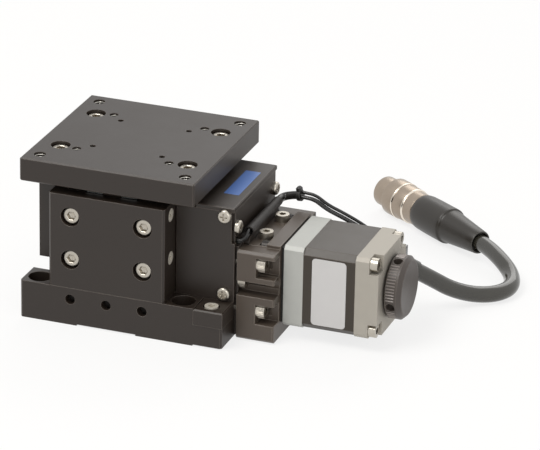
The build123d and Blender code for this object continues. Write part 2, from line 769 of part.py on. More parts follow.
# ---------------------------------------------------------------- bearing flange and motor bracket
def bearing_flange():
    """Plate behind the bracket with a raised boss that carries the lead tube."""
    body = block(base_right, bracket_left, -flange_half_width, flange_half_width, bracket_bottom_z + 0.6,
                 flange_top_z)
    boss = block(base_right, bracket_left + boss_thick, -boss_half_width, boss_half_width,
                 chamber_floor + 0.1, boss_top_z)
    ends = boss.edges().filter_by(Axis.X)
    body = body + fillet(ends, boss_corner_r)
    body = body - rod((base_right - 1, 0, drive_z), (1, 0, 0), bearing_r - 1.0, 3.6)
    body = body - rod((hub_left - 0.4, 0, drive_z), (1, 0, 0), coupling_r + 0.6, 5)
    for y, z in m3_bracket_places():
        body = body - stand(cap_room(3.0, m3_length, 0.1), (m3_seat, y, z), (1, 0, 0))
    for y, z in m25_flange_places():
        body = body - stand(cap_room(2.5, flange_screw_length, 0.1), (bracket_left, y, z), (1, 0, 0))
    return body


nodes["bearing_flange"] = bearing_flange()
nodes["bracket_screws"] = group(
    [stand(cap_screw(3.0, m3_length), (m3_seat, y, z), (1, 0, 0)) for y, z in m3_bracket_places()]
    + [stand(cap_screw(2.5, flange_screw_length), (bracket_left, y, z), (1, 0, 0)) for y, z in m25_flange_places()])
nodes["lead_tube"] = (rod((lead_tube_x, -lead_tube_front, lead_tube_z), (0, 1, 0), lead_tube_r,
                          lead_tube_front + lead_tube_rear)
                      - rod((lead_tube_x, -lead_tube_front - 1, lead_tube_z), (0, 1, 0), lead_tube_bore_r,
                            lead_tube_front + lead_tube_rear + 2))

chamber_half = bracket_half_width - bracket_wall
ledge_top_z = bracket_top_z + 0.2
ledge_thick = 3.0
ledge_screw_x = (bracket_left + boss_thick + plate_left) / 2 + 0.4
ledge_screw_y = 7.6
ledge_screw_length = 2.6
motor_screw_grip = 3.0


def motor_bracket():
    """Bracket round the coupling: motor plate, side walls with slots for the screws, open top."""
    body = block(bracket_left, bracket_right, -bracket_half_width, bracket_half_width, bracket_bottom_z,
                 bracket_top_z)
    body = chamfer(body.edges().filter_by(Axis.X), bracket_chamfer)
    right_edges = body.edges().filter_by(Axis.Z).group_by(Axis.X)[-1]
    body = chamfer(right_edges, bracket_edge_chamfer)
    plate = block(plate_left, bracket_right, -chamber_half, chamber_half, bracket_bottom_z + 3, motor_plate_top_z)
    body = body + plate
    chamber = block(bracket_left - 1, plate_left, -chamber_half, chamber_half, chamber_floor, motor_plate_top_z + 1)
    body = cut(body, [chamber, rod((plate_left - 1, 0, drive_z), (1, 0, 0), rotor_r + 0.6, 9)])
    for f in (-1, 1):
        y0, y1 = sorted((f * (bracket_half_width - slot_depth), f * (bracket_half_width + 1)))
        for s in (-1, 1):
            z = drive_z + s * slot_spread - 0.8
            body = body - block(m3_seat, bracket_right + 1, y0, y1, z - slot_height / 2, z + slot_height / 2)
        z = drive_z - 0.4
        body = body - block(bracket_left - 1, bracket_right + 1, y0, y1, z - mid_slot_height / 2,
                            z + mid_slot_height / 2)
    for y, z in m3_bracket_places():
        body = body - stand(cap_room(3.0, m3_length, 4.0), (m3_seat, y, z), (1, 0, 0))
    for y, z in m25_flange_places():
        body = body - stand(cap_room(2.5, flange_screw_length, bracket_length + 1), (bracket_left, y, z), (1, 0, 0))
    for y, z in corners(motor_hole_pitch, motor_hole_pitch):
        body = body - rod((plate_left - 1, y, drive_z + z), (1, 0, 0), 1.25 + seat_clear, motor_plate_thick + 2)
        head_d, head_h, _ = cap_sizes[2.5]
        body = body - rod((plate_left + 0.01, y, drive_z + z), (-1, 0, 0), head_d / 2 + seat_clear, head_h + 0.3)
    return body


nodes["motor_bracket"] = motor_bracket()


def coupling_cover():
    """Cover over the coupling chamber, between the flange's boss and the motor plate."""
    body = block(bracket_left + boss_thick + 0.1, plate_left - 0.1, -chamber_half + 0.05, chamber_half - 0.05,
                 ledge_top_z - ledge_thick, ledge_top_z)
    for f in (-1, 1):
        body = body - rod((ledge_screw_x, f * ledge_screw_y, 0), (0, 0, 1), 1.25 + seat_clear, ledge_top_z + 1)
        body = body - stand(cap_room(2.5, 1.0, 3.0), (plate_left, f * motor_hole_pitch / 2,
                                                      drive_z + motor_hole_pitch / 2), (-1, 0, 0))
    return body


nodes["coupling_cover"] = coupling_cover()
nodes["coupling_cover_screws"] = group(
    [stand(cap_screw(2.5, ledge_screw_length), (ledge_screw_x, f * ledge_screw_y, ledge_top_z)) for f in (-1, 1)])
nodes["motor_mount_screws"] = group(
    [stand(cap_screw(2.5, motor_plate_thick + motor_spacer_thick + motor_screw_grip), (plate_left, y, drive_z + z), (-1, 0, 0))
     for y, z in corners(motor_hole_pitch, motor_hole_pitch)])


# ---------------------------------------------------------------- motor
def motor_block(x0, x1, corner):
    """A square length of the motor's body with broken edges."""
    half = motor_size / 2
    body = block(x0, x1, -half, half, drive_z - half, drive_z + half)
    return chamfer(body.edges().filter_by(Axis.X), corner)


def motor_spacer():
    """Thin square ring between the bracket and the motor, round the motor's pilot."""
    half = motor_size / 2 - motor_spacer_shrink
    body = block(bracket_right, motor_left, -half, half, drive_z - half, drive_z + half)
    body = body - rod((bracket_right - 1, 0, drive_z), (1, 0, 0), motor_pilot_r, motor_spacer_thick + 2)
    for y, z in corners(motor_hole_pitch, motor_hole_pitch):
        body = body - rod((bracket_right - 1, y, drive_z + z), (1, 0, 0), 1.25 + seat_clear, motor_spacer_thick + 2)
    return body


nodes["motor_spacer"] = motor_spacer()


def motor_flange():
    """Die-cast front flange with tapped holes for the bracket's screws."""
    body = motor_block(motor_left, stator_left, motor_corner)
    body = body - rod((motor_left - 1, 0, drive_z), (1, 0, 0), shaft_r + running_clear, motor_flange_length + 2)
    for y, z in corners(motor_hole_pitch, motor_hole_pitch):
        body = body - rod((motor_left - 1, y, drive_z + z), (1, 0, 0), 1.25 + seat_clear, 4.5)
    return body


nodes["motor_flange"] = motor_flange()
nodes["motor_stator"] = (motor_block(stator_left, rear_left, stator_corner)
                         - rod((stator_left - 1, 0, drive_z), (1, 0, 0), rotor_r + 0.05, motor_stator_length + 2))


def motor_rear_cap():
    """Rear cap with a pocket at each corner for the long case screws."""
    body = motor_block(rear_left, motor_right, motor_corner)
    reach = motor_hole_pitch / 2 - motor_pocket_reach
    for y, z in corners(1.0, 1.0):
        y0, y1 = sorted((2 * y * reach, 2 * y * 20))
        z0, z1 = sorted((2 * z * reach, 2 * z * 20))
        body = body - block(motor_right - motor_pocket_depth, motor_right + 1, y0, y1, drive_z + z0, drive_z + z1)
    body = body - rod((rear_left - 1, 0, drive_z), (1, 0, 0), shaft_r + running_clear, motor_rear_length + 2)
    for y, z in corners(motor_hole_pitch, motor_hole_pitch):
        body = body - rod((rear_left - 1, y, drive_z + z), (1, 0, 0), 1.25 + seat_clear, motor_rear_length)
    return body


nodes["motor_rear_cap"] = motor_rear_cap()
case_screw_seat = motor_right - motor_pocket_depth
nodes["motor_case_screws"] = group(
    [stand(cap_screw(2.5, motor_rear_length - motor_pocket_depth - 0.2), (case_screw_seat, y, drive_z + z),
           (1, 0, 0)) for y, z in corners(motor_hole_pitch, motor_hole_pitch)])
outlet = block(rear_left + 0.4, motor_right - 0.1, motor_size / 2, motor_size / 2 + outlet_proud,
               drive_z - outlet_half, drive_z + outlet_half)
nodes["lead_outlet"] = chamfer(outlet.edges().group_by(Axis.Y)[-1], 0.5)


# ---------------------------------------------------------------- leads, cable and connector
def corner_radii(points):
    """As large an arc at each corner as its two runs allow."""
    radii = []
    for a, b, c in zip(points, points[1:], points[2:]):
        run_in = Vector(*b) - Vector(*a)
        run_out = Vector(*c) - Vector(*b)
        turn = radians(run_in.get_angle(run_out))
        radii.append(0.45 * min(run_in.length, run_out.length) / tan(turn / 2))
    return radii


def tube(points, radius):
    """A round tube along straight runs joined by tangent arcs."""
    path = FilletPolyline(*points, radius=corner_radii(points))
    start = Plane(origin=points[0], z_dir=Vector(*points[1]) - Vector(*points[0]))
    return sweep(start * Circle(radius), path=path)


cable_points = [
    (87.8, 22.6, 14.8), (92.4, 26.8, 10.8), (97.87, 30.62, 6.4), (104.38, 35.87, 3.3), (110.94, 40.13, 2.9),
    (113.88, 47.39, 2.85), (111.61, 56.3, 3.3), (106.24, 61.08, 5.3), (101.77, 66.32, 6.6), (96.82, 69.8, 6.6)]
cable_dir = (Vector(*cable_points[1]) - Vector(*cable_points[0])).normalized()
sleeve_start = Vector(*cable_points[0]) - cable_dir * sleeve_length
nodes["cable"] = tube(cable_points, cable_d / 2)
nodes["cable_sleeve"] = rod(sleeve_start, cable_dir, sleeve_r, sleeve_length)

motor_side_y = motor_size / 2
bundle_points = [(lead_tube_x, lead_tube_rear + 0.25, lead_tube_z), (lead_tube_x + 0.4, lead_tube_rear + 3.7, 35.4),
                 (46.4, 18.6, 36.4), (49.8, 18.0, 37.0)]
strand_points = [(49.8, 18.0, 37.0), (54.2, motor_side_y + 4.0, 36.7), (58.6, motor_side_y + 4.0, 33.9),
                 (64.0, motor_side_y + 4.1, 31.9), (70.0, motor_side_y + 4.4, 29.2),
                 (77.0, motor_side_y + 5.0, 24.6), tuple(sleeve_start)]
mouth_y = -lead_tube_front
loop_points = [
    [(38.5, -wire_hole_y, wire_hole_z + 0.6), (41.3, -wire_hole_y - 0.9, 33.8), (42.6, -16.3, 34.4),
     (lead_tube_x, mouth_y - 1.1, lead_tube_z + 0.55), (lead_tube_x - 0.02, mouth_y + 1.5, lead_tube_z + 0.56)],
    [(38.5, -wire_hole_y, wire_hole_z - 0.6), (41.2, -wire_hole_y + 0.2, 32.9), (42.7, -15.3, 34.0),
     (lead_tube_x, mouth_y - 0.9, lead_tube_z - 0.55), (lead_tube_x + 0.02, mouth_y + 1.5, lead_tube_z - 0.56)]]
strand_offsets = [(0.0, 0.4, 0.95), (0.0, -0.95, -0.2), (0.0, 0.75, -0.75)]


def lead_bundle():
    """Leads of the limit sensors: two loops into the lead tube, one jacket from it to the tie, then
    three loose leads to the sleeve."""
    pieces = [tube(bundle_points, bundle_r)] + [tube(points, lead_d / 2) for points in loop_points]
    for dx, dy, dz in strand_offsets:
        points = [(x + dx, y + dy, z + dz) for x, y, z in strand_points[:-1]]
        x, y, z = strand_points[-1]
        last = Vector(x, y, z) + (Vector(0, 0, dz * 1.3) + Vector(dx, dy, 0))
        last = last - cable_dir * ((last - sleeve_start).dot(cable_dir) + 0.35)
        pieces.append(tube(points + [tuple(last)], lead_d / 2))
    return group(pieces)


nodes["lead_bundle"] = lead_bundle()


def cable_tie():
    """Tie round the jacket's end with its square head on top."""
    end = Vector(*bundle_points[-1])
    along = (end - Vector(*bundle_points[-2])).normalized()
    place = Plane(origin=end - along * 1.7, x_dir=(0, 1, 0), z_dir=along).location
    ring = Cylinder(bundle_r + 0.55, 1.5, align=LOW) - Cylinder(bundle_r + 4 * seat_clear, 4.0)
    head = Pos(0, bundle_r + 1.2, 0.75) * Box(3.0, 2.0, 2.4)
    return place * (ring + (head - Cylinder(bundle_r + 0.5, 8.0)))


nodes["cable_tie"] = cable_tie()


def turned(outline, start, along):
    """A turned solid from (distance, radius) points, along a direction."""
    wire = Polyline(*[(r, d) for d, r in outline], close=True)
    solid = revolve(Plane.XZ * make_face(wire), Axis.Z)
    return stand(solid, start, along)


boot_start = cable_points[-1]
boot_length = boot_cone_length + boot_fat_length
shell_start = tuple(Vector(*boot_start) + Vector(*connector_dir) * boot_length)
nodes["cable_boot"] = turned(
    [(0, 0), (0, boot_end_r), (boot_cone_length, boot_fat_r - 0.5), (boot_cone_length + 0.6, boot_fat_r),
     (boot_length - 1.5, boot_fat_r - 0.1), (boot_length, boot_fat_r - 0.6), (boot_length, 0)],
    boot_start, connector_dir)
shell_total = connector_length + connector_tip_length
(low_ring, low_r), (mid_ring, mid_r) = connector_rings
bore_r = connector_tip_r - connector_wall
recess = shell_total - connector_recess
nodes["connector_shell"] = turned(
    [(0, 0), (0, low_r), (low_ring, low_r), (low_ring + connector_edge, mid_r), (mid_ring, mid_r),
     (mid_ring + connector_edge, connector_r), (connector_length - connector_edge, connector_r),
     (connector_length, connector_r - connector_edge), (connector_length, connector_tip_r),
     (shell_total - connector_edge, connector_tip_r), (shell_total, connector_tip_r - connector_edge),
     (shell_total, bore_r), (recess, bore_r), (recess, 0)], shell_start, connector_dir)
insert_start = tuple(Vector(*shell_start) + Vector(*connector_dir) * recess)
insert = Cylinder(bore_r - seat_clear, 2.0, align=LOW)
for turn in range(6):
    angle = radians(60 * turn)
    insert = insert + Pos(2.6 * cos(angle), 2.6 * sin(angle), 2.0) * Cylinder(0.4, 2.6, align=LOW)
nodes["connector_insert"] = stand(insert, insert_start, connector_dir)

# ---------------------------------------------------------------- write the pieces
print("cable radii, mm:", [round(r, 1) for r in corner_radii(cable_points)])
os.makedirs("parts", exist_ok=True)
for name, shape in nodes.items():
    export_step(shape, "parts/" + name + ".step")
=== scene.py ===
"""Looks of a motorised wedge-type vertical stage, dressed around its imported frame."""
import json
import math

import bmesh
import bpy
from bpy.props import FloatProperty, FloatVectorProperty, IntProperty, PointerProperty
from mathutils import Matrix, Vector


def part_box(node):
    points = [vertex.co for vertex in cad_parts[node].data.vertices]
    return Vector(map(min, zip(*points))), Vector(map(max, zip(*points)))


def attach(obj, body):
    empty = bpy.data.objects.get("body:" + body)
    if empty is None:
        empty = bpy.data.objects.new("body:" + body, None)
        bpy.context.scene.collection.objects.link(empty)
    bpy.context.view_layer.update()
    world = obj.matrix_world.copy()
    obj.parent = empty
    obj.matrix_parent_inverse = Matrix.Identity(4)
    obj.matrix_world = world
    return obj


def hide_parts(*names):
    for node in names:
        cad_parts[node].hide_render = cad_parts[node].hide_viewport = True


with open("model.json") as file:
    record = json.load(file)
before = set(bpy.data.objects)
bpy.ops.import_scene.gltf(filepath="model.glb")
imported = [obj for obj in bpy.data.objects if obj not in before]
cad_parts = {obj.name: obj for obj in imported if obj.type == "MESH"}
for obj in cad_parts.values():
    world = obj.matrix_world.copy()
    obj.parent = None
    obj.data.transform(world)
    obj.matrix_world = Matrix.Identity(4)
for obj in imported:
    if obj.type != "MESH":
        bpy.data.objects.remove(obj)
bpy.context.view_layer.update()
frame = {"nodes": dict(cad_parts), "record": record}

bl_info = {
    "name": "Vertical Stage Finishes",
    "version": (1, 0, 0),
    "blender": (4, 5, 0),
    "location": "View3D > Sidebar > Stage",
    "description": "Finishes, cable, knurls, threads and stickers of a motorised vertical stage",
    "category": "Object",
}

MM = 0.001
BASE, SCREW, TABLE = "base", "screw", "table"

# Places and sizes of the dressed pieces, in millimetres and in the frame's own axes. A turn is a piece's
# rotation from standing along Z, in radians.
DRIVE_Z = 18.7                      # height of the axis that the screw, the motor and the handwheel share
STANDING = (0.0, 0.0, 0.0)
ALONG_X = (0.0, math.pi / 2, 0.0)
SIDES = (-1, 1)

# The cable's line, which ends inside the boot, and the connector on its end
CABLE_POINTS = [
    (87.8, 22.6, 14.8), (92.4, 26.8, 10.8), (97.87, 30.62, 6.4), (104.38, 35.87, 3.3), (110.94, 40.13, 2.9),
    (113.88, 47.39, 2.85), (111.5, 55.7, 3.3), (106.3, 61.3, 5.4), (98.7, 68.5, 6.6), (95.18, 70.95, 6.6)]
CONNECTOR_DIR = Vector((-0.8181, 0.575, 0.0)).normalized()
PACKED_MOUTH = Vector((96.82, 69.8, 6.6))
MOUTH = PACKED_MOUTH + CONNECTOR_DIR * 1.4      # the dressed boot starts a little further along
BOOT_LENGTH = 32.3
# Outlines as (distance, radius): the boot's from its mouth, the shell's from the boot's far end
BOOT_OUTLINE = [
    (2.2, 0), (2.2, 3.1), (0.5, 3.3), (0.12, 3.45), (0.0, 3.7), (0.1, 3.95), (0.5, 4.08), (4.0, 4.45),
    (10.0, 5.1), (15.6, 5.72), (16.2, 5.8), (16.35, 5.9), (16.5, 6.2), (16.7, 6.33), (17.1, 6.38),
    (19.0, 6.38), (26.0, 6.36), (30.0, 6.26), (31.4, 6.08), (32.0, 5.9), (BOOT_LENGTH, 5.6), (BOOT_LENGTH, 0)]
SHELL_OUTLINE = [
    (0, 0), (0, 5.6), (0.2, 5.82), (4.2, 5.86), (4.3, 6.0), (4.8, 6.24), (9.6, 6.28), (9.75, 6.4),
    (10.25, 6.56), (15.2, 6.58), (15.55, 6.5), (15.8, 6.25), (15.8, 5.35), (15.95, 5.25), (16.4, 5.2),
    (16.7, 5.28), (21.4, 5.28), (21.7, 5.2), (21.92, 5.0), (22.0, 4.75), (21.9, 4.5), (21.7, 4.42),
    (16.5, 4.4), (16.5, 0)]
# Its polished steps as (distance, radius), and their outline as (distance, how far inside the radius)
SHELL_STEPS = ((4.2, 6.26), (9.65, 6.58))
STEP_LENGTH = 0.66
STEP_OUTLINE = ((0, 0.38), (0.06, 0.26), (0.32, 0.03), (0.42, 0), (0.62, 0), (STEP_LENGTH, 0.06))

# The tie, a little short of the end of the sensor leads' jacket
JACKET_END = Vector((49.8, 18.0, 37.0))
JACKET_DIR = Vector((3.4, -0.6, 0.6)).normalized()
TIE_SETBACK = 1.7
TIE_BORE = 1.4                      # radius
TIE_WIDTH = 1.5
TIE_THICKNESS = 0.5
TIE_SOFT = 0.15                     # how far its corners are broken
TIE_HEAD = (1.7, 2.3, 1.5, 0.55)    # width, length, height and corner radius

# M3 cap screws: shank's and head's radius, socket across half its flats, and lengths by place
SHANK_R = 1.5
HEAD_R = 2.7
SOCKET_R = 1.25
SOCKET_DEPTH = 1.65
CAP_KNURL_RISE = 1.2                # from under the head to the middle of its knurl
CAP_KNURL_LENGTH = 2.0
TABLE_SCREW_HALF_X, TABLE_SCREW_HALF_Y = 22.0, 15.0
TABLE_SHANK, TABLE_HEAD = 7.0, 2.55
UPRIGHT_SCREW_HALF_X = 12.5
UPRIGHT_SCREW_HEIGHTS = (23.0, 38.0)
UPRIGHT_SCREW_REACH = 8.0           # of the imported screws, from the head's face to the shank's end
UPRIGHT_SHANK, UPRIGHT_HEAD = 5.0, 2.45

# Knurl on the handwheel: its band from the left face, its radius, and where it leaves the set screws'
# holes open
KNOB_BAND = (0.55, 3.45)
KNOB_R = 10.49
KNOB_HOLE_R = 10.2
KNOB_HOLE_ANGLES = (105, 200)
KNOB_HOLE_CLEAR = 2.1
# The turned face on the handwheel's right end, as (distance past that end, radius)
FACE_OUTLINE = [
    (-0.5, 0), (-0.5, 2.4), (-0.1, 2.4), (-0.1, 9.0), (0.02, 9.1), (0.05, 9.0), (0.05, 8.6), (0.03, 8.4),
    (0.03, 0.5), (0.0, 0.0)]

# Knurled heads of the bracket's, the bearing flange's and the coupling cover's screws: their middles, and
# the knurl's radius and length
BRACKET_HEAD_X, BRACKET_HEAD_HALF_Y, BRACKET_HEAD_HALF_Z = 49.3, 17.1, 8.1
BRACKET_KNURL = (2.73, 2.1)
FLANGE_HEAD_X, FLANGE_HEAD_HALF_Y, FLANGE_HEAD_RISE = 42.5, 16.9, 1.1
FLANGE_KNURL = (2.23, 1.8)
COVER_HEAD_HALF_Y = 7.6
COVER_HEAD_SINK = 1.3               # from the top of the head to the middle of its knurl
COVER_KNURL = (2.23, 1.7)
SMALL_RIDGE = 0.8                   # a smaller head's ridge, as a share of a cap screw's

# Tapped holes of the table: name, half of the square's side, hole radius and thread pitch
THREADS = (("m4", 25.0, 2.0, 0.7), ("m3", 16.0, 1.5, 0.5), ("m2", 12.0, 1.0, 0.4))
COARSEST_PITCH = 0.7
THREAD_START = 48.3                 # height of the lowest turn
THREAD_LENGTH = 7.0

# Stickers: width, height and corner radius, then the middle
MOTOR_LABEL = (11.6, 23.2, 1.3)
MOTOR_LABEL_X, MOTOR_LABEL_Z = 70.4, 18.5
BOX_LABEL = (5.2, 20.6, 0.25)
BOX_LABEL_X, BOX_LABEL_Y = 34.85, 1.3

# Studio, in metres and watts: name, place, target, width and power of each lamp
WARM_WHITE = (1.0, 0.985, 0.96)
LAMPS = (
    ("key_softbox", (-0.30, -0.42, 1.05), (0.03, 0.0, 0.03), 0.55, 7.4),
    ("fill_softbox", (0.75, -1.00, 0.40), (0.04, 0.0, 0.02), 0.60, 2.6),
    ("back_softbox", (0.05, 1.02, 0.78), (0.05, 0.0, 0.03), 0.80, 3.4))
ROOM_STRENGTH = 0.55
FLOOR_HALF = 3.0
FLOOR_LIFT = 0.78                   # how far towards white a looking ray sees the floor
CAMERA_ANGLES = (19.568, 23.273, 1.188)         # azimuth, elevation and roll in degrees
CAMERA_PLACE = (423.609, -1064.964, 518.965)    # millimetres
CAMERA_LENS = 253.344               # millimetres
SENSOR_WIDTH = 36.0                 # millimetres


# ---------------------------------------------------------------- helpers
def linear(code):
    """An sRGB hex colour as linear red, green and blue."""
    parts = [int(code[i:i + 2], 16) / 255 for i in (0, 2, 4)]
    return tuple(c / 12.92 if c <= 0.04045 else ((c + 0.055) / 1.055) ** 2.4 for c in parts)


def mm(*point):
    """A point given in millimetres, as a vector in metres."""
    return Vector(point) * MM


def add(tree, kind, values=None, links=None, **settings):
    """Adds a node with its settings, its input values and its links from (node, output)."""
    made = tree.nodes.new(kind)
    for key, value in settings.items():
        setattr(made, key, value)
    for key, value in (values or {}).items():
        made.inputs[key].default_value = value
    for key, (source, output) in (links or {}).items():
        tree.links.new(source.outputs[output], made.inputs[key])
    return made


def new_object(name, data):
    """Puts data into the scene as an object at the origin."""
    made = bpy.data.objects.new(name, data)
    bpy.context.scene.collection.objects.link(made)
    return made


def shade(mesh, degrees=32):
    """Smooth shading that stays sharp across edges steeper than the angle."""
    mesh.polygons.foreach_set("use_smooth", [True] * len(mesh.polygons))
    mesh.set_sharp_from_angle(angle=math.radians(degrees))


def turned(name, outline, start, along, segments=96):
    """A turned piece from (distance, radius) points in millimetres, along a direction.

    A point with a third value is a hexagon whose flats are that radius from the axis."""
    turn = Vector(along).to_track_quat("Z", "Y").to_matrix().to_4x4()
    sixth = math.pi / 3
    work = bmesh.new()
    rings = []
    for distance, radius, *flats in outline:
        if radius == 0:
            rings.append([work.verts.new((0, 0, distance * MM))])
            continue
        ring = []
        for i in range(segments):
            angle = 2 * math.pi * i / segments
            reach = radius * MM / (math.cos(angle % sixth - sixth / 2) if flats else 1)
            ring.append(work.verts.new((reach * math.cos(angle), reach * math.sin(angle), distance * MM)))
        rings.append(ring)
    for low, high in zip(rings, rings[1:]):
        for i in range(segments):
            k = (i + 1) % segments
            corner = [low[i % len(low)], low[k % len(low)], high[k % len(high)], high[i % len(high)]]
            unique = list(dict.fromkeys(corner))
            if len(unique) > 2:
                work.faces.new(unique)
    bmesh.ops.recalc_face_normals(work, faces=work.faces)
    mesh = bpy.data.meshes.new(name)
    work.to_mesh(mesh)
    work.free()
    mesh.transform(Matrix.Translation(mm(*start)) @ turn)
    shade(mesh)
    return new_object(name, mesh)


def joined(name, parts):
    """One object from several, which are taken away."""
    work = bmesh.new()
    for part in parts:
        work.from_mesh(part.data)
        bpy.data.objects.remove(part)
    bmesh.ops.remove_doubles(work, verts=work.verts, dist=1e-7)
    bmesh.ops.recalc_face_normals(work, faces=work.faces)
    mesh = bpy.data.meshes.new(name)
    work.to_mesh(mesh)
    work.free()
    shade(mesh)
    return new_object(name, mesh)


def plate(name, width, height, thick, radius, place, steps=10):
    """A thin plate with rounded corners, its back face on the local XY plane of place."""
    work = bmesh.new()
    half_w, half_h = width / 2 - radius, height / 2 - radius
    rim = []
    for turn, (sx, sy) in enumerate(((1, 1), (-1, 1), (-1, -1), (1, -1))):
        for i in range(steps + 1):
            angle = math.pi / 2 * (turn + i / steps)
            rim.append((sx * half_w + radius * math.cos(angle), sy * half_h + radius * math.sin(angle)))
    low = [work.verts.new((x * MM, y * MM, 0)) for x, y in rim]
    soft = thick * 0.35  # the part of the thickness over which the rim leans in
    mid = [work.verts.new((x * MM, y * MM, (thick - soft) * MM)) for x, y in rim]
    top = [work.verts.new((x * (1 - 2 * soft / width) * MM, y * (1 - 2 * soft / height) * MM, thick * MM))
           for x, y in rim]
    work.faces.new(reversed(low))
    work.faces.new(top)
    for lower, upper in ((low, mid), (mid, top)):
        for i in range(len(rim)):
            k = (i + 1) % len(rim)
            work.faces.new((lower[i], lower[k], upper[k], upper[i]))
    mesh = bpy.data.meshes.new(name)
    work.to_mesh(mesh)
    work.free()
    mesh.transform(place)
    return new_object(name, mesh)


def frame_at(origin, x_axis, z_axis):
    """A placing matrix from an origin in millimetres, an X axis and a Z axis."""
    z = Vector(z_axis).normalized()
    x = Vector(x_axis).normalized()
    y = z.cross(x)
    return Matrix.Translation(mm(*origin)) @ Matrix((x, y, z)).transposed().to_4x4()


def finish_with(piece, material, body=BASE, replaced=()):
    """Gives a piece its material, its body and the nodes it stands for."""
    piece.data.materials.clear()
    piece.data.materials.append(material)
    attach(piece, body)
    if replaced:
        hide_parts(*replaced)
    return piece


# ---------------------------------------------------------------- sizes and colours
def size(name, default, description):
    """A length in metres from a default in millimetres."""
    return FloatProperty(name=name, default=default * MM, description=description, unit="LENGTH", min=0)


def colour(name, code, description):
    """A colour from its sRGB hex code."""
    return FloatVectorProperty(name=name, default=linear(code), description=description, subtype="COLOR",
                               size=3, min=0, max=1)


class StageSizes(bpy.types.PropertyGroup):
    """Sizes of the dressed pieces."""
    cable_diameter: size("Cable diameter", 5.5, "Outer diameter of the moulded cable")
    edge_radius: size("Edge radius", 0.30, "Radius that broken edges show in the light")
    knob_ridge: size("Knob ridge", 0.36, "Half diagonal of one ridge of the handwheel's straight knurl")
    screw_ridge: size("Screw ridge", 0.085, "Half diagonal of one ridge on a screw head")
    thread_ridge: size("Thread ridge", 0.22, "Radius of the cut thread's section, for the largest hole")
    label_thickness: size("Label thickness", 0.08, "Thickness of the stickers")
    knob_ridges: IntProperty(name="Knob ridges", default=64, min=12, max=200,
                             description="How many ridges the handwheel's knurl has")
    screw_ridges: IntProperty(name="Screw ridges", default=34, min=8, max=80,
                              description="How many ridges a screw head's knurl has")


class StageColours(bpy.types.PropertyGroup):
    """Colours of the finishes."""
    anodise: colour("Black anodise", "251d17", "Dull warm black of the anodised plates")
    bracket: colour("Bracket anodise", "4a4139", "Paler batch of anodise on the motor bracket and cover")
    # These two edge colours are part wear and part painted highlight on the broken edges
    worn_edge_highlight: colour("Worn edge", "776d64", "Thin, greyer anodise on the broken edges")
    worn_bracket_edge_highlight: colour("Worn bracket edge", "938a80", "Paler wear on the bracket's broken edges")
    knob: colour("Handwheel", "443d39", "Anodised handwheel")
    screw: colour("Nickel plate", "b9b3a8", "Bright nickel on the screws")
    zinc: colour("Zinc plate", "d2ccc0", "Set screws in the uprights and the corner")
    steel: colour("Ground steel", "b9bab8", "Rails, rollers and ball screw")
    oxide: colour("Black oxide", "302d2b", "Black screws and the sensors' flag")
    cast: colour("Die casting", "b2b3af", "Motor's front flange")
    cast_rear: colour("Rear casting", "a8a39a", "Motor's rear cap")
    enamel: colour("Stator enamel", "2f271d", "Baked enamel on the motor's laminations")
    rubber: colour("Cable jacket", "33312b", "Black jacket of the cable")
    crest: colour("Knurl crest", "8b8480", "Crests of the handwheel's knurl, rubbed paler by fingers")
    tube: colour("Lead tube", "231f1c", "Heat-shrunk tube over the sensor leads")
    boot: colour("Boot", "292520", "Moulded boot of the connector")
    # Painted highlight on the boot's step and the rim of its mouth
    boot_edge_highlight: colour("Worn boot edge", "6f6e69", "Rubbed edges of the boot")
    nickel: colour("Satin nickel", "a09385", "Connector shell")
    # A paler nickel than the shell's: painted highlight on its turned steps
    ring: colour("Polished nickel", "ece2d4", "Turned steps of the connector shell")
    # Pale bare metal that also paints the glints in the table's holes
    cut: colour("Cut aluminium", "cfccc4", "Bare threads of the table's tapped holes")
    label: colour("Label", "c3c2c2", "Bare metallised sticker on the motor")
    blue_label: colour("Blue label", "3560a4", "Plain blue sticker on the box")
    nylon: colour("Nylon", "1d1c1b", "Tie, sensors and lead insulation")
    laminate: colour("Board", "23553a", "Sensor board")
    floor: colour("Floor", "f4f3f1", "Table that the stage stands on")


# ---------------------------------------------------------------- finishes
# Paler edges, part wear and part painted highlight, start and are full where the rounded and the flat normal
# have these cosines between them
WEAR_AND_HIGHLIGHT_STARTS, WEAR_AND_HIGHLIGHT_FULL = 0.995, 0.86
WEAR_AND_HIGHLIGHT_STRENGTH = 1.3
WAVE_SCALE = 0.3142                 # at which a wave texture has one band a metre
RELIEF_STRENGTH = 0.6
CLEAR_ROUGHNESS = 0.12
SMOOTHEST = 0.02


def blank(name):
    """An empty material with its output and a surface shader."""
    made = bpy.data.materials.new(name)
    made.use_nodes = True
    tree = made.node_tree
    tree.nodes.clear()
    shader = add(tree, "ShaderNodeBsdfPrincipled")
    add(tree, "ShaderNodeOutputMaterial", links={"Surface": (shader, "BSDF")})
    return made, tree, shader


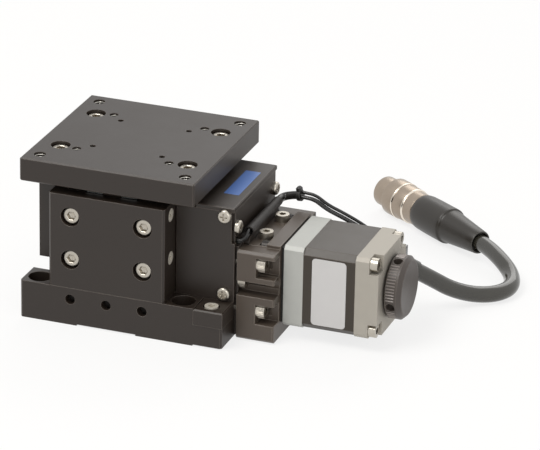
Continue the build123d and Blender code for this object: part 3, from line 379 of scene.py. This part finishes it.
def coat(name, base, roughness, metallic=0.0, edge_wear_and_highlight=None, edge=0.3, grain=0.4, grain_depth=0.012,
         mottle=9.0, mottle_strength=0.10, rough_range=0.10, stripes=None, ior=None, clear=None):
    """A finish with slow mottling, a fine grain in relief, and rounded edges that catch the light; a given edge
    colour also paints them paler, part wear and part painted highlight.

    Lengths are in millimetres: edge is the broken edges' radius, grain and mottle the pattern sizes,
    and stripes is an axis, a pitch and the share of the relief that the lines take. A colour mix has
    its number sockets first, so its colours are sockets 6 and 7, and its result is output 2."""
    made, tree, shader = blank(name)
    place = add(tree, "ShaderNodeTexCoord")
    slow = add(tree, "ShaderNodeTexNoise", {"Scale": 1 / (mottle * MM), "Detail": 3.0, "Roughness": 0.6},
               {"Vector": (place, "Object")})
    fine = add(tree, "ShaderNodeTexNoise", {"Scale": 1 / (grain * MM), "Detail": 2.0, "Roughness": 0.5},
               {"Vector": (place, "Object")})
    dark = tuple(c * (1 - mottle_strength) for c in base)
    light = tuple(min(1, c * (1 + mottle_strength)) for c in base)
    hue = add(tree, "ShaderNodeMix", {6: (*dark, 1), 7: (*light, 1)}, {0: (slow, "Fac")}, data_type="RGBA")
    rounded = add(tree, "ShaderNodeBevel", {"Radius": edge * MM}, samples=4)
    if edge_wear_and_highlight is not None:
        flat = add(tree, "ShaderNodeNewGeometry")
        turn = add(tree, "ShaderNodeVectorMath", links={0: (rounded, "Normal"), 1: (flat, "Normal")},
                   operation="DOT_PRODUCT")
        spread = add(tree, "ShaderNodeMapRange", {
            "From Min": WEAR_AND_HIGHLIGHT_STARTS, "From Max": WEAR_AND_HIGHLIGHT_FULL, "To Min": 0.0, "To Max": WEAR_AND_HIGHLIGHT_STRENGTH},
            {"Value": (turn, "Value")}, clamp=True)
        # Paler edges, part wear and part painted highlight, broken up by the mottling
        wear_and_highlight_mask = add(tree, "ShaderNodeMath", links={0: (spread, "Result"), 1: (slow, "Fac")},
                   operation="MULTIPLY", use_clamp=True)
        hue = add(tree, "ShaderNodeMix", {7: (*edge_wear_and_highlight, 1)}, {0: (wear_and_highlight_mask, "Value"), 6: (hue, 2)},
                  data_type="RGBA")
    tree.links.new(hue.outputs[2], shader.inputs["Base Color"])
    gloss = add(tree, "ShaderNodeMapRange", {
        "To Min": max(SMOOTHEST, roughness - rough_range / 2), "To Max": roughness + rough_range / 2},
        {"Value": (slow, "Fac")})
    tree.links.new(gloss.outputs["Result"], shader.inputs["Roughness"])
    height = (fine, "Fac")
    if stripes is not None:
        axis, pitch, share = stripes
        lines = add(tree, "ShaderNodeTexWave", {
            "Scale": WAVE_SCALE / (pitch * MM), "Distortion": 0.4, "Detail": 1.0},
            {"Vector": (place, "Object")}, bands_direction=axis)
        both = add(tree, "ShaderNodeMath", {2: 0.0}, {0: (lines, "Fac"), 1: (fine, "Fac")},
                   operation="ADD")
        height = (both, 0)
        grain_depth = grain_depth * (1 + share)
    relief = add(tree, "ShaderNodeBump", {"Strength": RELIEF_STRENGTH, "Distance": grain_depth * MM},
                 {"Height": height, "Normal": (rounded, "Normal")})
    tree.links.new(relief.outputs["Normal"], shader.inputs["Normal"])
    shader.inputs["Metallic"].default_value = metallic
    if ior is not None:
        shader.inputs["IOR"].default_value = ior
    if clear is not None:
        shader.inputs["Coat Weight"].default_value = clear
        shader.inputs["Coat Roughness"].default_value = CLEAR_ROUGHNESS
    return made


def anodised_finishes(hues, edge):
    """The lots of black anodised aluminium."""
    return {
        # Hard anodised, bead blasted first: a dull warm black whose pores scatter the light; its broken edges
        # are painted paler, part wear and part painted highlight
        "black_anodised": coat(
            "hard_anodised_aluminium", hues.anodise, 0.44, edge_wear_and_highlight=hues.worn_edge_highlight, edge=edge, grain=0.35,
            grain_depth=0.008, mottle=14.0, mottle_strength=0.07),
        # The motor bracket and its cover come from a paler, browner batch, with edges painted paler still, part
        # wear and part painted highlight
        "bracket": coat(
            "hard_anodised_bracket", hues.bracket, 0.42, edge_wear_and_highlight=hues.worn_bracket_edge_highlight, edge=0.42, grain=0.35,
            grain_depth=0.008, mottle=10.0, mottle_strength=0.08),
        # The handwheel is anodised over a turned skin: a smoother, slightly paler black, its edges painted
        # paler, part wear and part painted highlight
        "knob": coat(
            "anodised_turned_aluminium", hues.knob, 0.42, edge_wear_and_highlight=hues.worn_edge_highlight, edge=edge, grain=0.35,
            grain_depth=0.008, mottle=8.0, mottle_strength=0.08),
        # Crests of its knurl, rubbed by fingers until the anodise pales and shines a little
        "crest": coat(
            "rubbed_anodise_crests", hues.crest, 0.38, 0.15, edge=0.05, mottle=3.0, mottle_strength=0.12),
    }


def steel_finishes(hues):
    """Plated, blackened and ground steels."""
    return {
        # Nickel plate: bright, a little cloudy from the bath
        "screw_steel": coat(
            "nickel_plated_steel", hues.screw, 0.30, 1.0, edge=0.10, grain=0.5, grain_depth=0.010,
            mottle=1.5, rough_range=0.14),
        # Zinc plate: duller than the nickel, so the set screws stay pale in the uprights' shade
        "zinc": coat(
            "zinc_plated_steel", hues.zinc, 0.45, 0.35, edge=0.08, grain_depth=0.010, mottle=1.2,
            mottle_strength=0.12),
        # Black oxide: near black and slightly oily
        "black_screw_steel": coat("black_oxide_steel", hues.oxide, 0.38, 0.6, edge=0.08, mottle=2.0),
        # Ground bearing steel: bright, with fine level grinding lines
        "rail_steel": coat(
            "ground_bearing_steel", hues.steel, 0.24, 1.0, edge=0.08, mottle=5.0,
            stripes=("Z", 0.35, 0.4)),
        # Blackened sheet of the sensors' flag: matter than the screws, with a faint metal shine
        "flag_steel": coat("blackened_sheet", hues.oxide, 0.45, 0.5, edge=0.08, mottle=2.0),
    }


def bare_metal_finishes(hues):
    """Turned, cut and cast aluminium, and the connector's nickel over brass."""
    cast = dict(metallic=0.40, edge=0.25, grain=0.45, grain_depth=0.030, mottle=3.5, mottle_strength=0.07,
                rough_range=0.16)
    return {
        # Turned aluminium of the coupling's hubs: bright and clean
        "hub_aluminium": coat("turned_aluminium", hues.steel, 0.30, 1.0, edge=0.12, mottle=4.0),
        # Thread cut after anodising: bare aluminium, whose pale colour also paints the glints in the holes
        "cut_thread": coat("cut_aluminium", hues.cut, 0.28, 0.9, edge=0.05, mottle=1.0),
        # Die castings, tumbled and left bare: a soft cloudy grey with a fine sandy skin
        "motor_flange_cast": coat("tumbled_die_casting", hues.cast, 0.60, **cast),
        "motor_cap_cast": coat("tumbled_die_casting_rear", hues.cast_rear, 0.60, **cast),
        # Satin nickel over brass: warm and softly clouded
        "nickel_shell": coat(
            "satin_nickel_on_brass", hues.nickel, 0.30, 1.0, edge=0.15, grain_depth=0.008, mottle=5.0,
            mottle_strength=0.08),
        # The shell's turned steps are polished, and painted paler than the shell's nickel: a painted highlight
        # that shows them as bright lines
        "ring": coat(
            "polished_nickel_step_painted_highlight", hues.ring, 0.16, 1.0, edge=0.05, grain_depth=0.003, mottle=3.0,
            mottle_strength=0.04, rough_range=0.06),
    }


def enamel_and_plastic_finishes(hues):
    """The stator's enamel, the cable, the leads, the tie and the sensors."""
    return {
        # Baked enamel over stacked sheets: the 0.5 mm sheets show as faint lines round the stator; its edges
        # are painted paler, part rubbed enamel and part painted highlight
        "stator_paint": coat(
            "baked_enamel_on_laminations", hues.enamel, 0.40, edge_wear_and_highlight=hues.worn_edge_highlight, edge=0.35, grain=0.3,
            grain_depth=0.010, mottle=7.0, mottle_strength=0.06, stripes=("X", 0.5, 0.35)),
        # Flexible vinyl jacket: smooth and shiny where it bends
        "black_rubber": coat(
            "flexible_vinyl", hues.rubber, 0.17, edge=0.2, grain=0.9, grain_depth=0.010, mottle=6.0,
            mottle_strength=0.14, rough_range=0.08, ior=1.52, clear=0.35),
        # Moulded elastomer boot: satin from the mould's spark-eroded skin, with a paler colour painted on its
        # edges as a highlight along the step and the mouth's rim
        "boot": coat(
            "moulded_elastomer", hues.boot, 0.34, edge_wear_and_highlight=hues.boot_edge_highlight, edge=0.30, mottle=7.0, ior=1.5),
        # Shrunk polyolefin tube: matt, a little uneven over what it covers
        "tube": coat(
            "shrunk_polyolefin", hues.tube, 0.60, edge=0.1, grain=0.6, mottle=3.0, mottle_strength=0.12,
            ior=1.5),
        # Extruded vinyl on the sensor leads: smooth, with a soft shine along each lead
        "lead_insulation": coat("lead_insulation", hues.nylon, 0.26, edge=0.1, mottle=2.0, ior=1.5),
        # Moulded nylon of the sensors and the tie: satin black
        "sensor_plastic": coat("moulded_nylon", hues.nylon, 0.45, edge=0.12, mottle=3.0, ior=1.53),
        # Green solder resist over the sensor board's copper: glossy, like a thin varnish
        "board_laminate": coat("solder_resist", hues.laminate, 0.35, edge=0.05, mottle=4.0, clear=0.5),
    }


def sticker_finishes(hues):
    """The two stickers, both without print."""
    return {
        # Metallised polyester: smooth, pale, faintly pearly
        "label": coat(
            "metallised_polyester", hues.label, 0.38, 0.1, edge=0.05, grain=0.6, grain_depth=0.004,
            mottle=6.0, mottle_strength=0.03, clear=0.3),
        # Coloured vinyl under clear film: an even blue with a soft gloss
        "blue_label": coat(
            "blue_vinyl", hues.blue_label, 0.34, edge=0.05, grain=0.6, grain_depth=0.004, mottle=5.0,
            mottle_strength=0.05, clear=0.4),
    }


# Finishes by the record's slot, and those that only some nodes or dressed pieces use
FINISH = {}
SLOT_OF = {row["node"]: row["material_slot"] for row in frame["record"]["subparts"]}
OWN_FINISH = {
    "motor_bracket": "bracket", "coupling_cover": "bracket", "knob": "knob", "cable_boot": "boot",
    "lead_tube": "tube", "motor_mount_screws": "black_screw_steel", "knob_set_screws": "screw_steel",
    "gib_screws": "zinc", "corner_screw": "zinc"}


# ---------------------------------------------------------------- repeats
def tree_inputs(name, sockets):
    """A geometry node group with a geometry input, named inputs and a geometry output."""
    tree = bpy.data.node_groups.new(name, "GeometryNodeTree")
    tree.interface.new_socket("Places", in_out="INPUT", socket_type="NodeSocketGeometry")
    for label, kind in sockets:
        tree.interface.new_socket(label, in_out="INPUT", socket_type=kind)
    tree.interface.new_socket("Geometry", in_out="OUTPUT", socket_type="NodeSocketGeometry")
    return tree, add(tree, "NodeGroupInput")


def close_tree(tree, given, shape):
    """Copies the shape to each place, turns the copies, makes them real and gives them the material."""
    copies = add(tree, "GeometryNodeInstanceOnPoints", links={
        "Points": (given, "Places"), "Instance": shape, "Rotation": (given, "Turn")})
    real = add(tree, "GeometryNodeRealizeInstances", links={"Geometry": (copies, "Instances")})
    dressed = add(tree, "GeometryNodeSetMaterial", links={
        "Geometry": (real, "Geometry"), "Material": (given, "Finish")})
    add(tree, "NodeGroupOutput", links={"Geometry": (dressed, "Geometry")})
    return tree


def knurl_tree():
    """Straight knurl: V ridges set round a circle, along its axis, and left out near two holes."""
    tree, given = tree_inputs("straight_knurl", (
        ("Ridges", "NodeSocketInt"), ("Radius", "NodeSocketFloat"), ("Length", "NodeSocketFloat"),
        ("Ridge", "NodeSocketFloat"), ("Hole A", "NodeSocketVector"), ("Hole B", "NodeSocketVector"),
        ("Clear", "NodeSocketFloat"), ("Turn", "NodeSocketVector"), ("Finish", "NodeSocketMaterial")))
    circle = add(tree, "GeometryNodeMeshCircle", links={
        "Vertices": (given, "Ridges"), "Radius": (given, "Radius")})
    ridge = add(tree, "GeometryNodeMeshCylinder", {"Vertices": 4},
                {"Radius": (given, "Ridge"), "Depth": (given, "Length")})
    spot = add(tree, "GeometryNodeInputPosition")
    near = []
    for hole in ("Hole A", "Hole B"):
        gap = add(tree, "ShaderNodeVectorMath", links={0: (spot, "Position"), 1: (given, hole)},
                  operation="DISTANCE")
        near.append(add(tree, "FunctionNodeCompare", links={0: (gap, "Value"), 1: (given, "Clear")},
                        data_type="FLOAT", operation="LESS_THAN"))
    either = add(tree, "FunctionNodeBooleanMath", links={0: (near[0], 0), 1: (near[1], 0)}, operation="OR")
    kept = add(tree, "GeometryNodeDeleteGeometry", links={
        "Geometry": (circle, "Mesh"), "Selection": (either, 0)}, domain="POINT")
    facing = add(tree, "FunctionNodeAlignRotationToVector", links={"Vector": (spot, "Position")}, axis="X",
                 pivot_axis="Z")
    ring = add(tree, "GeometryNodeInstanceOnPoints", links={
        "Points": (kept, "Geometry"), "Instance": (ridge, "Mesh"), "Rotation": (facing, "Rotation")})
    return close_tree(tree, given, (ring, "Instances"))


def thread_tree():
    """Cut thread: a helix with a V section, wound up the wall of a hole."""
    tree, given = tree_inputs("cut_thread", (
        ("Turns", "NodeSocketFloat"), ("Radius", "NodeSocketFloat"), ("Length", "NodeSocketFloat"),
        ("Ridge", "NodeSocketFloat"), ("Turn", "NodeSocketVector"), ("Finish", "NodeSocketMaterial")))
    helix = add(tree, "GeometryNodeCurveSpiral", {"Resolution": 20}, {
        "Rotations": (given, "Turns"), "Start Radius": (given, "Radius"), "End Radius": (given, "Radius"),
        "Height": (given, "Length")})
    section = add(tree, "GeometryNodeCurvePrimitiveCircle", {"Resolution": 4}, {"Radius": (given, "Ridge")})
    wound = add(tree, "GeometryNodeCurveToMesh", {"Fill Caps": True},
                {"Curve": (helix, "Curve"), "Profile Curve": (section, "Curve")})
    return close_tree(tree, given, (wound, "Mesh"))


def copies_tree():
    """Copies of one finished piece, such as a screw, set out over the places."""
    tree, given = tree_inputs("set_out_copies", (
        ("Piece", "NodeSocketObject"), ("Turn", "NodeSocketVector"), ("Finish", "NodeSocketMaterial")))
    piece = add(tree, "GeometryNodeObjectInfo", links={"Object": (given, "Piece")})
    return close_tree(tree, given, (piece, "Geometry"))


def grown(name, tree, places, values):
    """Runs a node group over a list of places and keeps the result as a plain mesh."""
    points = bpy.data.meshes.new(name + "_places")
    points.from_pydata([mm(*p) for p in places], [], [])
    source = new_object(name + "_source", points)
    grow = source.modifiers.new("Grow", "NODES")
    grow.node_group = tree
    for socket in tree.interface.items_tree:
        if socket.item_type == "SOCKET" and socket.in_out == "INPUT" and socket.name in values:
            grow[socket.identifier] = values[socket.name]
    bpy.context.view_layer.update()
    mesh = bpy.data.meshes.new_from_object(source.evaluated_get(bpy.context.evaluated_depsgraph_get()))
    mesh.name = name
    bpy.data.objects.remove(source)
    return new_object(name, mesh)


# ---------------------------------------------------------------- operators
class STAGE_OT_finishes(bpy.types.Operator):
    """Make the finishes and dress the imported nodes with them"""
    bl_idname = "stage.finishes"
    bl_label = "Finishes"

    def execute(self, context):
        hues = context.scene.stage_colours
        FINISH.update(anodised_finishes(hues, context.scene.stage_sizes.edge_radius / MM))
        FINISH.update(steel_finishes(hues))
        FINISH.update(bare_metal_finishes(hues))
        FINISH.update(enamel_and_plastic_finishes(hues))
        FINISH.update(sticker_finishes(hues))
        for name, node in frame["nodes"].items():
            material = FINISH[OWN_FINISH.get(name, SLOT_OF[name])]
            if not node.material_slots:
                node.data.materials.append(material)
            for slot in node.material_slots:
                slot.material = material
        return {"FINISHED"}


class STAGE_OT_cable(bpy.types.Operator):
    """Lay the cable from its sleeve to the connector's boot"""
    bl_idname = "stage.cable"
    bl_label = "Cable"

    def execute(self, context):
        sizes = context.scene.stage_sizes
        line = bpy.data.curves.new("cable_jacket", "CURVE")
        line.dimensions = "3D"
        spline = line.splines.new("NURBS")
        spline.points.add(len(CABLE_POINTS) - 1)
        for point, place in zip(spline.points, CABLE_POINTS):
            point.co = (*mm(*place), 1)
        spline.order_u = 3
        spline.use_endpoint_u = True
        spline.resolution_u = 16
        line.bevel_depth = sizes.cable_diameter / 2
        line.bevel_resolution = 12
        line.use_fill_caps = True
        cable = finish_with(new_object("cable_jacket", line), FINISH["black_rubber"],
                            replaced=("cable",))
        return {"FINISHED"}


class STAGE_OT_connector(bpy.types.Operator):
    """Turn the connector's boot and shell, with its polished steps and open back end"""
    bl_idname = "stage.connector"
    bl_label = "Connector"

    def execute(self, context):
        boot = turned("connector_boot", BOOT_OUTLINE, MOUTH, CONNECTOR_DIR)
        finish_with(boot, FINISH["boot"], replaced=("cable_boot",))
        shell = turned("connector_body", SHELL_OUTLINE, MOUTH + CONNECTOR_DIR * BOOT_LENGTH, CONNECTOR_DIR)
        finish_with(shell, FINISH["nickel_shell"], replaced=("connector_shell",))
        for number, (place, radius) in enumerate(SHELL_STEPS):
            rim = [(distance, radius - inside) for distance, inside in STEP_OUTLINE]
            ring = turned("connector_ring_%d" % number, [(0, 0), *rim, (STEP_LENGTH, 0)],
                          MOUTH + CONNECTOR_DIR * (BOOT_LENGTH + place), CONNECTOR_DIR)
            finish_with(ring, FINISH["ring"])
        return {"FINISHED"}


class STAGE_OT_tie(bpy.types.Operator):
    """Close the small cable tie round the sensor leads, its rounded head on top"""
    bl_idname = "stage.tie"
    bl_label = "Cable tie"

    def execute(self, context):
        place = JACKET_END - JACKET_DIR * TIE_SETBACK
        outer = TIE_BORE + TIE_THICKNESS
        band = turned("cable_tie_band", [
            (0, TIE_BORE), (0, outer - TIE_SOFT), (TIE_SOFT, outer), (TIE_WIDTH - TIE_SOFT, outer),
            (TIE_WIDTH, outer - TIE_SOFT), (TIE_WIDTH, TIE_BORE), (0, TIE_BORE)], place, JACKET_DIR, 64)
        across = JACKET_DIR.cross(Vector((0, 0, 1))).normalized()
        upward = across.cross(JACKET_DIR)
        seat = place + JACKET_DIR * (TIE_WIDTH / 2) + upward * (outer - TIE_THICKNESS / 2)
        head = plate("cable_tie_head", *TIE_HEAD, frame_at(seat, JACKET_DIR, upward))
        finish_with(joined("lead_tie", (band, head)), FINISH["sensor_plastic"],
                    replaced=("cable_tie",))
        return {"FINISHED"}


def head_knurl(name, tree, places, band, turn, share=1.0):
    """The knurl of like screw heads at their middles: band is its radius and length, share thins it."""
    sizes = bpy.context.scene.stage_sizes
    radius, length = band
    return grown(name, tree, places, {
        "Ridges": sizes.screw_ridges, "Radius": radius * MM, "Length": length * MM,
        "Ridge": sizes.screw_ridge * share, "Turn": turn, "Finish": FINISH["screw_steel"]})


def cap_screws(name, shank, head, rows):
    """M3 cap screws with hexagon sockets and knurled heads, in rows of (places, turn, way out)."""
    top = shank + head
    one = turned("cap_screw", [
        (0, 0), (0, SHANK_R - 0.2), (0.2, SHANK_R), (shank - 0.02, SHANK_R), (shank, HEAD_R),
        (top - 0.35, HEAD_R), (top - 0.15, HEAD_R - 0.06), (top - 0.03, HEAD_R - 0.25), (top, HEAD_R - 0.5),
        (top, SOCKET_R + 0.17, "hexagon"), (top - 0.13, SOCKET_R + 0.02, "hexagon"),
        (top - SOCKET_DEPTH, SOCKET_R, "hexagon"), (top - SOCKET_DEPTH - 0.5, 0)],
        (0, 0, 0), (0, 0, 1), 48)
    copies, knurl = copies_tree(), knurl_tree()
    parts = []
    for places, turn, way in rows:
        parts.append(grown(name, copies, places, {
            "Piece": one, "Turn": turn, "Finish": FINISH["screw_steel"]}))
        middles = [Vector(p) + Vector(way) * (shank + CAP_KNURL_RISE) for p in places]
        parts.append(head_knurl(name, knurl, middles, (HEAD_R - 0.01, CAP_KNURL_LENGTH), turn))
    bpy.data.objects.remove(one)
    return joined(name, parts)


class STAGE_OT_cap_screws(bpy.types.Operator):
    """Sink the cap screws into the table and the uprights"""
    bl_idname = "stage.cap_screws"
    bl_label = "Cap screws"

    def execute(self, context):
        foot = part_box("table_screws")[0].z / MM
        places = [(sx * TABLE_SCREW_HALF_X, sy * TABLE_SCREW_HALF_Y, foot) for sx in SIDES for sy in SIDES]
        table = cap_screws("table_cap_screws", TABLE_SHANK, TABLE_HEAD, [(places, STANDING, (0, 0, 1))])
        finish_with(table, FINISH["screw_steel"], TABLE, replaced=("table_screws",))
        rows = []
        for side, corner in zip(SIDES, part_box("upright_screws")):
            foot = corner.y / MM - side * UPRIGHT_SCREW_REACH
            places = [(sx * UPRIGHT_SCREW_HALF_X, foot, z) for sx in SIDES for z in UPRIGHT_SCREW_HEIGHTS]
            rows.append((places, (-side * math.pi / 2, 0.0, 0.0), (0, side, 0)))
        upright = cap_screws("upright_cap_screws", UPRIGHT_SHANK, UPRIGHT_HEAD, rows)
        finish_with(upright, FINISH["screw_steel"], replaced=("upright_screws",))
        return {"FINISHED"}


class STAGE_OT_knurls(bpy.types.Operator):
    """Cut the straight knurls on the handwheel and the screw heads"""
    bl_idname = "stage.knurls"
    bl_label = "Knurls"

    def execute(self, context):
        tree = knurl_tree()
        self.dress_handwheel(context.scene.stage_sizes, tree)
        low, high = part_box("coupling_cover_screws")
        cover_x, cover_z = (low.x + high.x) / 2 / MM, high.z / MM - COVER_HEAD_SINK
        bracket = [(BRACKET_HEAD_X, sy * BRACKET_HEAD_HALF_Y, DRIVE_Z + sz * BRACKET_HEAD_HALF_Z)
                   for sy in SIDES for sz in SIDES]
        flange = [(FLANGE_HEAD_X, sy * FLANGE_HEAD_HALF_Y, DRIVE_Z + FLANGE_HEAD_RISE) for sy in SIDES]
        cover = [(cover_x, sy * COVER_HEAD_HALF_Y, cover_z) for sy in SIDES]
        for knurl in (
                head_knurl("bracket_screw_knurls", tree, bracket, BRACKET_KNURL, ALONG_X),
                head_knurl("flange_screw_knurls", tree, flange, FLANGE_KNURL, ALONG_X, SMALL_RIDGE),
                head_knurl("cover_screw_knurls", tree, cover, COVER_KNURL, STANDING, SMALL_RIDGE)):
            finish_with(knurl, FINISH["screw_steel"])
        return {"FINISHED"}

    def dress_handwheel(self, sizes, tree):
        """The knurl round the handwheel and its turned end face, both on the screw."""
        low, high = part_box("knob")
        left, right = (low.x / MM + place for place in KNOB_BAND)
        # The knurl's own X and Z axes are turned onto the stage's -Z and X
        angles = [math.radians(a) for a in KNOB_HOLE_ANGLES]
        reach = KNOB_HOLE_R * MM
        hole_a, hole_b = [(-reach * math.sin(a), reach * math.cos(a), 0) for a in angles]
        band = grown("knob_knurl", tree, [((left + right) / 2, 0, DRIVE_Z)], {
            "Ridges": sizes.knob_ridges, "Radius": KNOB_R * MM - sizes.knob_ridge,
            "Length": (right - left) * MM, "Ridge": sizes.knob_ridge, "Hole A": hole_a, "Hole B": hole_b,
            "Clear": KNOB_HOLE_CLEAR * MM, "Turn": ALONG_X, "Finish": FINISH["crest"]})
        finish_with(band, FINISH["crest"], SCREW)
        face = turned("knob_face", FACE_OUTLINE, (high.x / MM, 0, DRIVE_Z), (1, 0, 0), 128)
        finish_with(face, FINISH["knob"], SCREW)


class STAGE_OT_threads(bpy.types.Operator):
    """Cut the threads in the table's tapped holes"""
    bl_idname = "stage.threads"
    bl_label = "Threads"

    def execute(self, context):
        ridge = context.scene.stage_sizes.thread_ridge
        tree = thread_tree()
        for name, half, radius, pitch in THREADS:
            places = [(sx * half, sy * half, THREAD_START) for sx in SIDES for sy in SIDES]
            thread = grown("table_thread_" + name, tree, places, {
                "Turns": THREAD_LENGTH / pitch, "Radius": radius * MM, "Length": THREAD_LENGTH * MM,
                "Ridge": ridge * pitch / COARSEST_PITCH, "Turn": STANDING, "Finish": FINISH["cut_thread"]})
            finish_with(thread, FINISH["cut_thread"], TABLE)
        return {"FINISHED"}


class STAGE_OT_labels(bpy.types.Operator):
    """Stick the bare label on the motor and the plain blue label on the box"""
    bl_idname = "stage.labels"
    bl_label = "Labels"

    def execute(self, context):
        thick = context.scene.stage_sizes.label_thickness / MM
        for name, sticker, place, outward, finish in (
                ("motor_label", MOTOR_LABEL, (MOTOR_LABEL_X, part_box("motor_stator")[0].y / MM, MOTOR_LABEL_Z),
                 (0, -1, 0), "label"),
                ("box_label", BOX_LABEL, (BOX_LABEL_X, BOX_LABEL_Y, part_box("top_cover")[1].z / MM),
                 (0, 0, 1), "blue_label")):
            width, height, radius = sticker
            finish_with(plate(name, width, height, thick, radius, frame_at(place, (1, 0, 0), outward)),
                        FINISH[finish])
        return {"FINISHED"}


# ---------------------------------------------------------------- studio
def seen_directly(tree):
    """A node that says 1 where a camera, glossy or transmission ray looks, for a white backdrop."""
    path = add(tree, "ShaderNodeLightPath")
    two = add(tree, "ShaderNodeMath", links={0: (path, "Is Camera Ray"), 1: (path, "Is Glossy Ray")},
              operation="MAXIMUM")
    return add(tree, "ShaderNodeMath", links={0: (two, 0), 1: (path, "Is Transmission Ray")},
               operation="MAXIMUM")


def lay_floor(scene):
    """Matt pale laminate; a looking ray sees it lifted towards white, and shadows stay on it."""
    mesh = bpy.data.meshes.new("studio_floor")
    side = FLOOR_HALF
    mesh.from_pydata([(-side, -side, 0), (side, -side, 0), (side, side, 0), (-side, side, 0)], [],
                     [(0, 1, 2, 3)])
    floor = new_object("studio_floor", mesh)
    made, tree, shader = blank("pale_laminate")
    shader.inputs["Base Color"].default_value = (*scene.stage_colours.floor, 1)
    shader.inputs["Roughness"].default_value = 0.8
    shader.inputs["Specular IOR Level"].default_value = 0.2
    tree.nodes.remove(next(n for n in tree.nodes if n.type == "OUTPUT_MATERIAL"))
    glow = add(tree, "ShaderNodeEmission", {"Color": (1, 1, 1, 1), "Strength": 1.0})
    share = add(tree, "ShaderNodeMath", {1: FLOOR_LIFT}, {0: (seen_directly(tree), 0)}, operation="MULTIPLY")
    mix = add(tree, "ShaderNodeMixShader", links={0: (share, 0), 1: (shader, "BSDF"), 2: (glow, "Emission")})
    add(tree, "ShaderNodeOutputMaterial", links={"Surface": (mix, 0)})
    mesh.materials.append(made)


def light_room(scene):
    """A soft warm room that a looking ray sees as plain white, and three softboxes."""
    world = bpy.data.worlds.new("soft_studio")
    scene.world = world
    world.use_nodes = True
    sky = world.node_tree
    sky.nodes.clear()
    back = add(sky, "ShaderNodeBackground", {"Color": (1, 1, 1, 1), "Strength": 1.0})
    room = add(sky, "ShaderNodeBackground", {"Color": (*WARM_WHITE, 1), "Strength": ROOM_STRENGTH})
    choice = add(sky, "ShaderNodeMixShader", links={0: (seen_directly(sky), 0), 1: (room, 0), 2: (back, 0)})
    add(sky, "ShaderNodeOutputWorld", links={"Surface": (choice, 0)})
    for name, place, target, width, power in LAMPS:
        lamp = bpy.data.lights.new(name, "AREA")
        lamp.shape = "SQUARE"
        lamp.size = width
        lamp.energy = power
        lamp.color = WARM_WHITE
        light = new_object(name, lamp)
        light.location = place
        light.rotation_mode = "QUATERNION"
        light.rotation_quaternion = (Vector(target) - Vector(place)).to_track_quat("-Z", "Y")


def aim_camera(scene):
    """A long lens from the front right, a little above, rolled by a degree."""
    azimuth, elevation, roll = (math.radians(a) for a in CAMERA_ANGLES)
    back = Vector((math.sin(azimuth) * math.cos(elevation), -math.cos(azimuth) * math.cos(elevation),
                   math.sin(elevation)))
    right = Vector((math.cos(azimuth), math.sin(azimuth), 0))
    up = back.cross(right)
    right, up = (right * math.cos(roll) + up * math.sin(roll), up * math.cos(roll) - right * math.sin(roll))
    lens = bpy.data.cameras.new("camera")
    camera = new_object("camera", lens)
    camera.matrix_world = (Matrix.Translation(mm(*CAMERA_PLACE))
                           @ Matrix((right, up, back)).transposed().to_4x4())
    lens.sensor_width = SENSOR_WIDTH
    lens.lens = CAMERA_LENS
    lens.clip_start, lens.clip_end = 0.01, 20.0
    scene.camera = camera


class STAGE_OT_studio(bpy.types.Operator):
    """Set the floor, the soft light and the camera"""
    bl_idname = "stage.studio"
    bl_label = "Studio"

    def execute(self, context):
        context.scene.view_settings.view_transform = "Standard"
        lay_floor(context.scene)
        light_room(context.scene)
        aim_camera(context.scene)
        return {"FINISHED"}
OPERATORS = (STAGE_OT_finishes, STAGE_OT_connector, STAGE_OT_cable, STAGE_OT_tie, STAGE_OT_cap_screws,
             STAGE_OT_knurls, STAGE_OT_threads, STAGE_OT_labels, STAGE_OT_studio)


class STAGE_PT_panel(bpy.types.Panel):
    """Lists the pieces that dress the stage"""
    bl_idname = "STAGE_PT_panel"
    bl_label = "Vertical stage"
    bl_space_type = "VIEW_3D"
    bl_region_type = "UI"
    bl_category = "Stage"

    def draw(self, context):
        for kind in OPERATORS:
            self.layout.operator(kind.bl_idname)
        for group in (context.scene.stage_sizes, context.scene.stage_colours):
            for key in type(group).__annotations__:
                self.layout.prop(group, key)


CLASSES = (StageSizes, StageColours, *OPERATORS, STAGE_PT_panel)


def register():
    """Register the classes and hang the settings on the scene."""
    for kind in CLASSES:
        bpy.utils.register_class(kind)
    bpy.types.Scene.stage_sizes = PointerProperty(type=StageSizes)
    bpy.types.Scene.stage_colours = PointerProperty(type=StageColours)


def unregister():
    """Take the settings and the classes away again."""
    del bpy.types.Scene.stage_colours
    del bpy.types.Scene.stage_sizes
    for kind in reversed(CLASSES):
        bpy.utils.unregister_class(kind)


def main():
    """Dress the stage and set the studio."""
    register()
    bpy.ops.stage.finishes()
    bpy.ops.stage.connector()
    bpy.ops.stage.cable()
    bpy.ops.stage.tie()
    bpy.ops.stage.cap_screws()
    bpy.ops.stage.knurls()
    bpy.ops.stage.threads()
    bpy.ops.stage.labels()
    bpy.ops.stage.studio()


if __name__ == "__main__":
    main()
